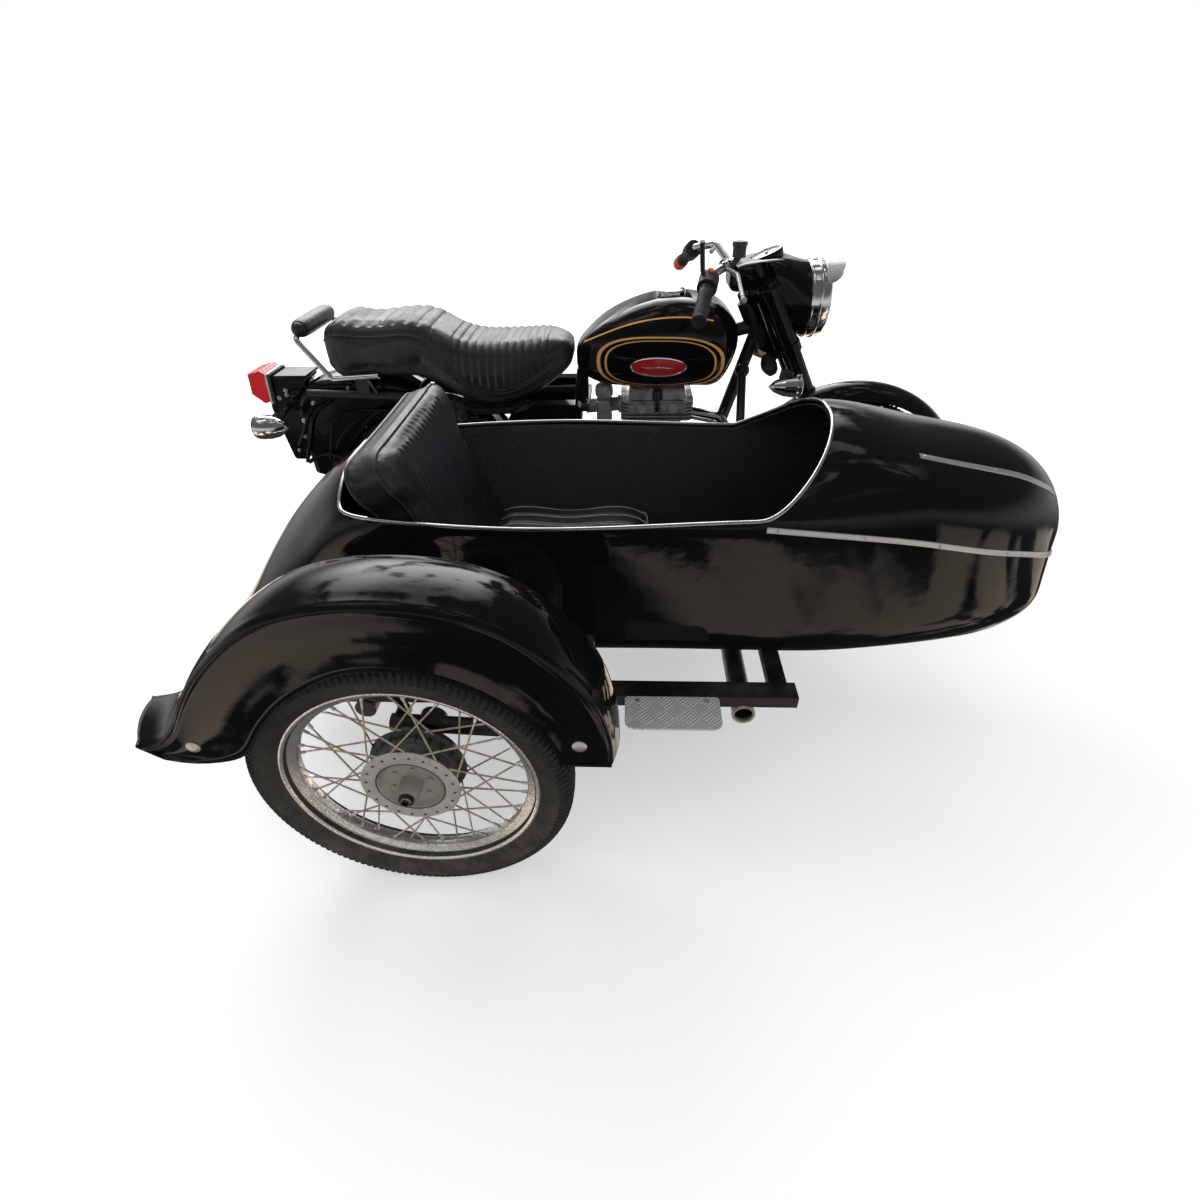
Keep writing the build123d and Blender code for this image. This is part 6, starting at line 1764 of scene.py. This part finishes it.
# ---------------------------------------------------------------- materials by name
MAKERS = {
    "gloss_paint": gloss_paint,
    "lined_paint": lambda: gloss_paint("lined_paint", tank_line),
    "frame_paint": frame_paint,
    "chrome": chrome,
    "aged_chrome": lambda: chrome("aged_chrome", 0.65, (0.50, 0.49, 0.46)),
    "hub_alloy": lambda: cast_metal("hub_alloy", (0.42, 0.41, 0.39), 0.5),
    "engine_alloy": lambda: cast_metal("engine_alloy", (0.33, 0.33, 0.32), 0.7, 0.5),
    "steel": lambda: cast_metal("plated_steel", (0.40, 0.40, 0.39), 0.6, 0.35),
    "step_alloy": chequer_plate,
    "bright_trim": bright_trim,
    "bead_metal": lambda: chrome("bead_metal", 0.35, (0.42, 0.43, 0.44)),
    "rocker_alloy": lambda: cast_metal("rocker_alloy", (0.46, 0.46, 0.45), 0.5, 0.38),
    "worn_steel": lambda: cast_metal("worn_steel", (0.50, 0.46, 0.40), 0.5, 0.4),
    # painted highlight: the pale pink of the rod along the tail lamp lens's edge
    "highlight_pink": lambda: moulded("highlight_pink", (0.85, 0.30, 0.30), 0.2, 0.02),
    "rubber": lambda: moulded("rubber", (0.014, 0.014, 0.014), 0.55, 0.3),
    "black_plastic": lambda: moulded("black_plastic", (0.012, 0.012, 0.013), 0.35, 0.12),
    "leathercloth": leathercloth,
    "welt_cord": welt_cord,
    "black_welt": lambda: moulded("black_welt", (0.016, 0.017, 0.019), 0.28, 0.05),
    "carpet": carpet,
    # these lenses glow faintly as painted light
    "red_lens": lambda: lamp_lens("red_lens", tones().lens),
    "amber_lens": lambda: lamp_lens("amber_lens", (0.80, 0.25, 0.02)),
    "lamp_glass": headlamp_glass,
    "dial": dial_face,
    "enamel": lambda: moulded("red_enamel", (0.42, 0.012, 0.014), 0.12, 0.02),
    "red_grip": lambda: moulded("red_grip", (0.55, 0.05, 0.02), 0.45, 0.25),
    "plywood": plywood,
    **{f"tyre_{w}": (lambda w=w: tyre_rubber(w)) for w in AXLES},
    **{f"wheel_{w}": (lambda w=w: wheel_metal(w)) for w in AXLES},
}

SLOT_LOOK = {
    "gloss_black": "gloss_paint", "frame_black": "frame_paint", "tyre": "rubber",
    "seat_vinyl": "leathercloth",
    "red_plastic": "red_lens", "badge": "enamel", "bead": "bead_metal", "board": "plywood",
}  # every other slot has the look of its own name


def frame_finishes():
    """Gives every solid of the frame the finish that its material slot asks for."""
    for name, solid in NODES.items():
        look = SLOT_LOOK.get(SLOT_OF[name], SLOT_OF[name])
        for holder in solid.material_slots:
            holder.material = finish(look)


# ---------------------------------------------------------------- stage
CAMERA_PLACE = (0.08473, -1.58265, 1.34774)
CAMERA_TURN, CAMERA_DIP, CAMERA_ROLL = radians(-3.23), radians(36.41), radians(-1.53)


def camera():
    """The camera looks along a compass turn and a dip below level, rolled about that line."""
    look = Vector((sin(CAMERA_TURN) * cos(CAMERA_DIP), cos(CAMERA_TURN) * cos(CAMERA_DIP), -sin(CAMERA_DIP)))
    level = Vector((cos(CAMERA_TURN), -sin(CAMERA_TURN), 0))
    above = level.cross(look)
    side = cos(CAMERA_ROLL) * level + sin(CAMERA_ROLL) * above
    top = cos(CAMERA_ROLL) * above - sin(CAMERA_ROLL) * level
    data = bpy.data.cameras.new("camera")
    data.sensor_width, data.lens = 36.0, bpy.context.scene.stage_sizes.lens
    data.sensor_fit = "HORIZONTAL"
    data.clip_end = 100
    thing = placed("camera", data)
    thing.matrix_world = Matrix.Translation(CAMERA_PLACE) @ Matrix((side, top, -look)).transposed().to_4x4()
    bpy.context.scene.camera = thing


def lamp(name, place, aim, size, watts, tone=(1, 1, 1)):
    """A rectangular soft light at a place, facing another, that gloss doesn't mirror."""
    data = bpy.data.lights.new(name, "AREA")
    data.shape, data.size, data.size_y = "RECTANGLE", size[0], size[1]
    data.energy, data.color = watts, tone
    thing = placed(name, data)
    way = Vector(aim) - Vector(place)
    thing.matrix_world = Matrix.Translation(place) @ way.to_track_quat("-Z", "Y").to_matrix().to_4x4()
    thing.visible_glossy = False


def floor():
    """A wide pale floor that keeps shadows near the machine and reads as white further out.

    Gloss doesn't mirror it.
    """
    mesh = bpy.data.meshes.new("floor")
    span = 30.0
    corners = [(-span, -span, 0), (span, -span, 0), (span, span, 0), (-span, span, 0)]
    mesh.from_pydata(corners, [], [(0, 1, 2, 3)])
    thing = placed("floor", mesh)
    thing.visible_glossy = False
    f = Finish("floor_pale")
    ray = f.tree.nodes.new("ShaderNodeLightPath")
    seen = Wire(f.tree, ray.outputs["Is Camera Ray"])
    gloss = Wire(f.tree, ray.outputs["Is Glossy Ray"]).most(Wire(f.tree, ray.outputs["Is Transmission Ray"]))
    f.set(Base_Color=(0.80, 0.80, 0.80), Roughness=1.0, Specular_IOR_Level=0.0)
    f.set(Emission_Color=(1.0, 1.0, 1.0))
    x, y, _ = f.split(f.place())
    far = ((x * x + y * y) ** 0.5).between(1.6, 4.5)
    plug(f.tree, f.surface.inputs["Emission Strength"], seen * (0.40 + far * 0.6) + gloss * 0.25)
    mesh.materials.append(f.material)


def room():
    """A bright surround: white to the camera; in gloss, a soft sky over dark, patchy ground.

    In gloss the ground is dark underfoot, sunlit in warm patches further out, and pale near
    the horizon; the sky is dim overhead and has one wide soft glow on the machine's far side.
    """
    world = bpy.data.worlds.new("room")
    bpy.context.scene.world = world
    world.use_nodes = True
    tree = world.node_tree
    tree.nodes.clear()
    ray = tree.nodes.new("ShaderNodeLightPath")
    place = tree.nodes.new("ShaderNodeTexCoord")
    parts = tree.nodes.new("ShaderNodeSeparateXYZ")
    tree.links.new(place.outputs["Generated"], parts.inputs[0])
    x, y, height = (Wire(tree, parts.outputs[k]) for k in range(3))
    cloud = tree.nodes.new("ShaderNodeTexNoise")
    cloud.inputs["Scale"].default_value = 3.2
    cloud.inputs["Detail"].default_value = 3.0
    tree.links.new(place.outputs["Generated"], cloud.inputs["Vector"])
    patch = Wire(tree, cloud.outputs[0])
    seen = Wire(tree, ray.outputs["Is Camera Ray"]).most(Wire(tree, ray.outputs["Is Transmission Ray"]))
    glossy = Wire(tree, ray.outputs["Is Glossy Ray"])
    sunlit = patch.between(0.50, 0.57) * height.between(-0.86, -0.62) * (1 - height.between(-0.42, -0.24))
    ground = sunlit * 1.7 + height.between(-0.40, -0.02) * 0.75 + 0.05
    glow = height.between(0.10, 0.42) * (1 - height.between(0.60, 0.90)) * y.between(0.0, 0.40)
    glow = glow * (1 - (abs(x + 0.12)).between(0.22, 0.62)) * patch.between(0.40, 0.52)
    streak = patch.between(0.52, 0.60) * height.between(0.70, 0.90)
    sky = 0.70 - height.between(0.0, 0.30) * 0.56 + glow * 7.0 + streak * 1.6
    above = height.between(-0.02, 0.02)
    level = glossy * (ground + above * (sky - ground)) + (1.0 - glossy) * bpy.context.scene.stage_sizes.room
    strength = seen + (1.0 - seen) * level
    light = tree.nodes.new("ShaderNodeBackground")
    plug(tree, light.inputs["Color"], blend(tree, sunlit * glossy, (1, 1, 1), (1.0, 0.80, 0.62)))
    plug(tree, light.inputs["Strength"], strength)
    out = tree.nodes.new("ShaderNodeOutputWorld")
    tree.links.new(light.outputs[0], out.inputs[0])


def stage():
    """The camera, the floor, the room and three lamps."""
    bpy.context.scene.view_settings.view_transform = "Standard"
    camera()
    floor()
    room()
    lamp("key", (-1.9, 1.2, 3.6), (0.1, 0.0, 0.4), (2.6, 2.0), 62)
    lamp("bank", (0.3, 3.6, 2.6), (0.1, 0.0, 0.6), (3.2, 0.9), 42, (0.93, 0.97, 1.0))
    lamp("fill", (1.6, -3.0, 2.6), (0.2, -0.5, 0.4), (2.4, 2.4), 16)


# ---------------------------------------------------------------- commands
def command(label, text, *steps):
    """An operator class that runs its steps in order."""
    key = label.lower().replace(" ", "_")

    def execute(self, context):
        for step in steps:
            step()
        return {"FINISHED"}

    words = {"bl_idname": "sidecar." + key, "bl_label": label, "bl_options": {"REGISTER", "UNDO"},
             "__doc__": text, "execute": execute}
    return type("SIDECAR_OT_" + key, (bpy.types.Operator,), words)


COMMANDS = (
    command("Stage", "Set up the camera, floor and lights", stage),
    command("Finishes", "Give every solid of the frame its finish", frame_finishes),
    command("Sidecar shell", "Make the sidecar's skin, bead and carpet", sidecar_shell, trim_strips),
    command("Sidecar mudguard", "Make the sidecar's mudguard and its bolts", sidecar_guard),
    command("Front end", "Make the lamp, dial, grips and fork fittings", headlamp, speedometer, bar_fittings,
            fork_fittings),
    command("Engine top", "Make the rocker covers and the inlet", engine_top),
    command("Tail", "Make the rear mudguard and the tail lamp's fittings", rear_guard, tail_fittings),
    command("Chassis fittings", "Make the step, the tube's ring and the shock's boot", step_plate,
            chassis_fittings),
    command("Wheels", "Make the three wire wheels and their tyres", wheels),
    command("Seats", "Make the dual seat, its back roll and the passenger's seat", dual_seat, backrest,
            sidecar_cushion, sidecar_seat_back),
    command("Tank", "Make the fuel tank, its lining and its plaques", fuel_tank, tank_badges),
)


class SIDECAR_PT_panel(bpy.types.Panel):
    """Lists the outfit's sizes, colours and commands."""

    bl_label = "Sidecar motorcycle"
    bl_idname = "SIDECAR_PT_panel"
    bl_space_type = "VIEW_3D"
    bl_region_type = "UI"
    bl_category = "Sidecar"

    def draw(self, context):
        for name in SETTINGS:
            box = self.layout.box()
            group = getattr(context.scene, name)
            for key in group.bl_rna.properties.keys():
                if key not in {"rna_type", "name"}:
                    box.prop(group, key)
        for kind in COMMANDS:
            self.layout.operator(kind.bl_idname)


SETTINGS = {
    "motorcycle_sizes": MotorcycleSizes,
    "sidecar_sizes": SidecarSizes,
    "outfit_colours": Colours,
    "stage_sizes": StageSizes,
}


def register():
    """Adds the classes and the groups of settings to Blender."""
    for kind in (*SETTINGS.values(), *COMMANDS, SIDECAR_PT_panel):
        bpy.utils.register_class(kind)
    for name, kind in SETTINGS.items():
        setattr(bpy.types.Scene, name, bpy.props.PointerProperty(type=kind))


def unregister():
    """Takes out what register adds."""
    for name in SETTINGS:
        delattr(bpy.types.Scene, name)
    for kind in reversed((*SETTINGS.values(), *COMMANDS, SIDECAR_PT_panel)):
        bpy.utils.unregister_class(kind)


def main():
    """Registers everything, runs the commands in order and notes the sizes."""
    register()
    for kind in COMMANDS:
        group, name = kind.bl_idname.split(".")
        getattr(getattr(bpy.ops, group), name)()


if __name__ == "__main__":
    main()
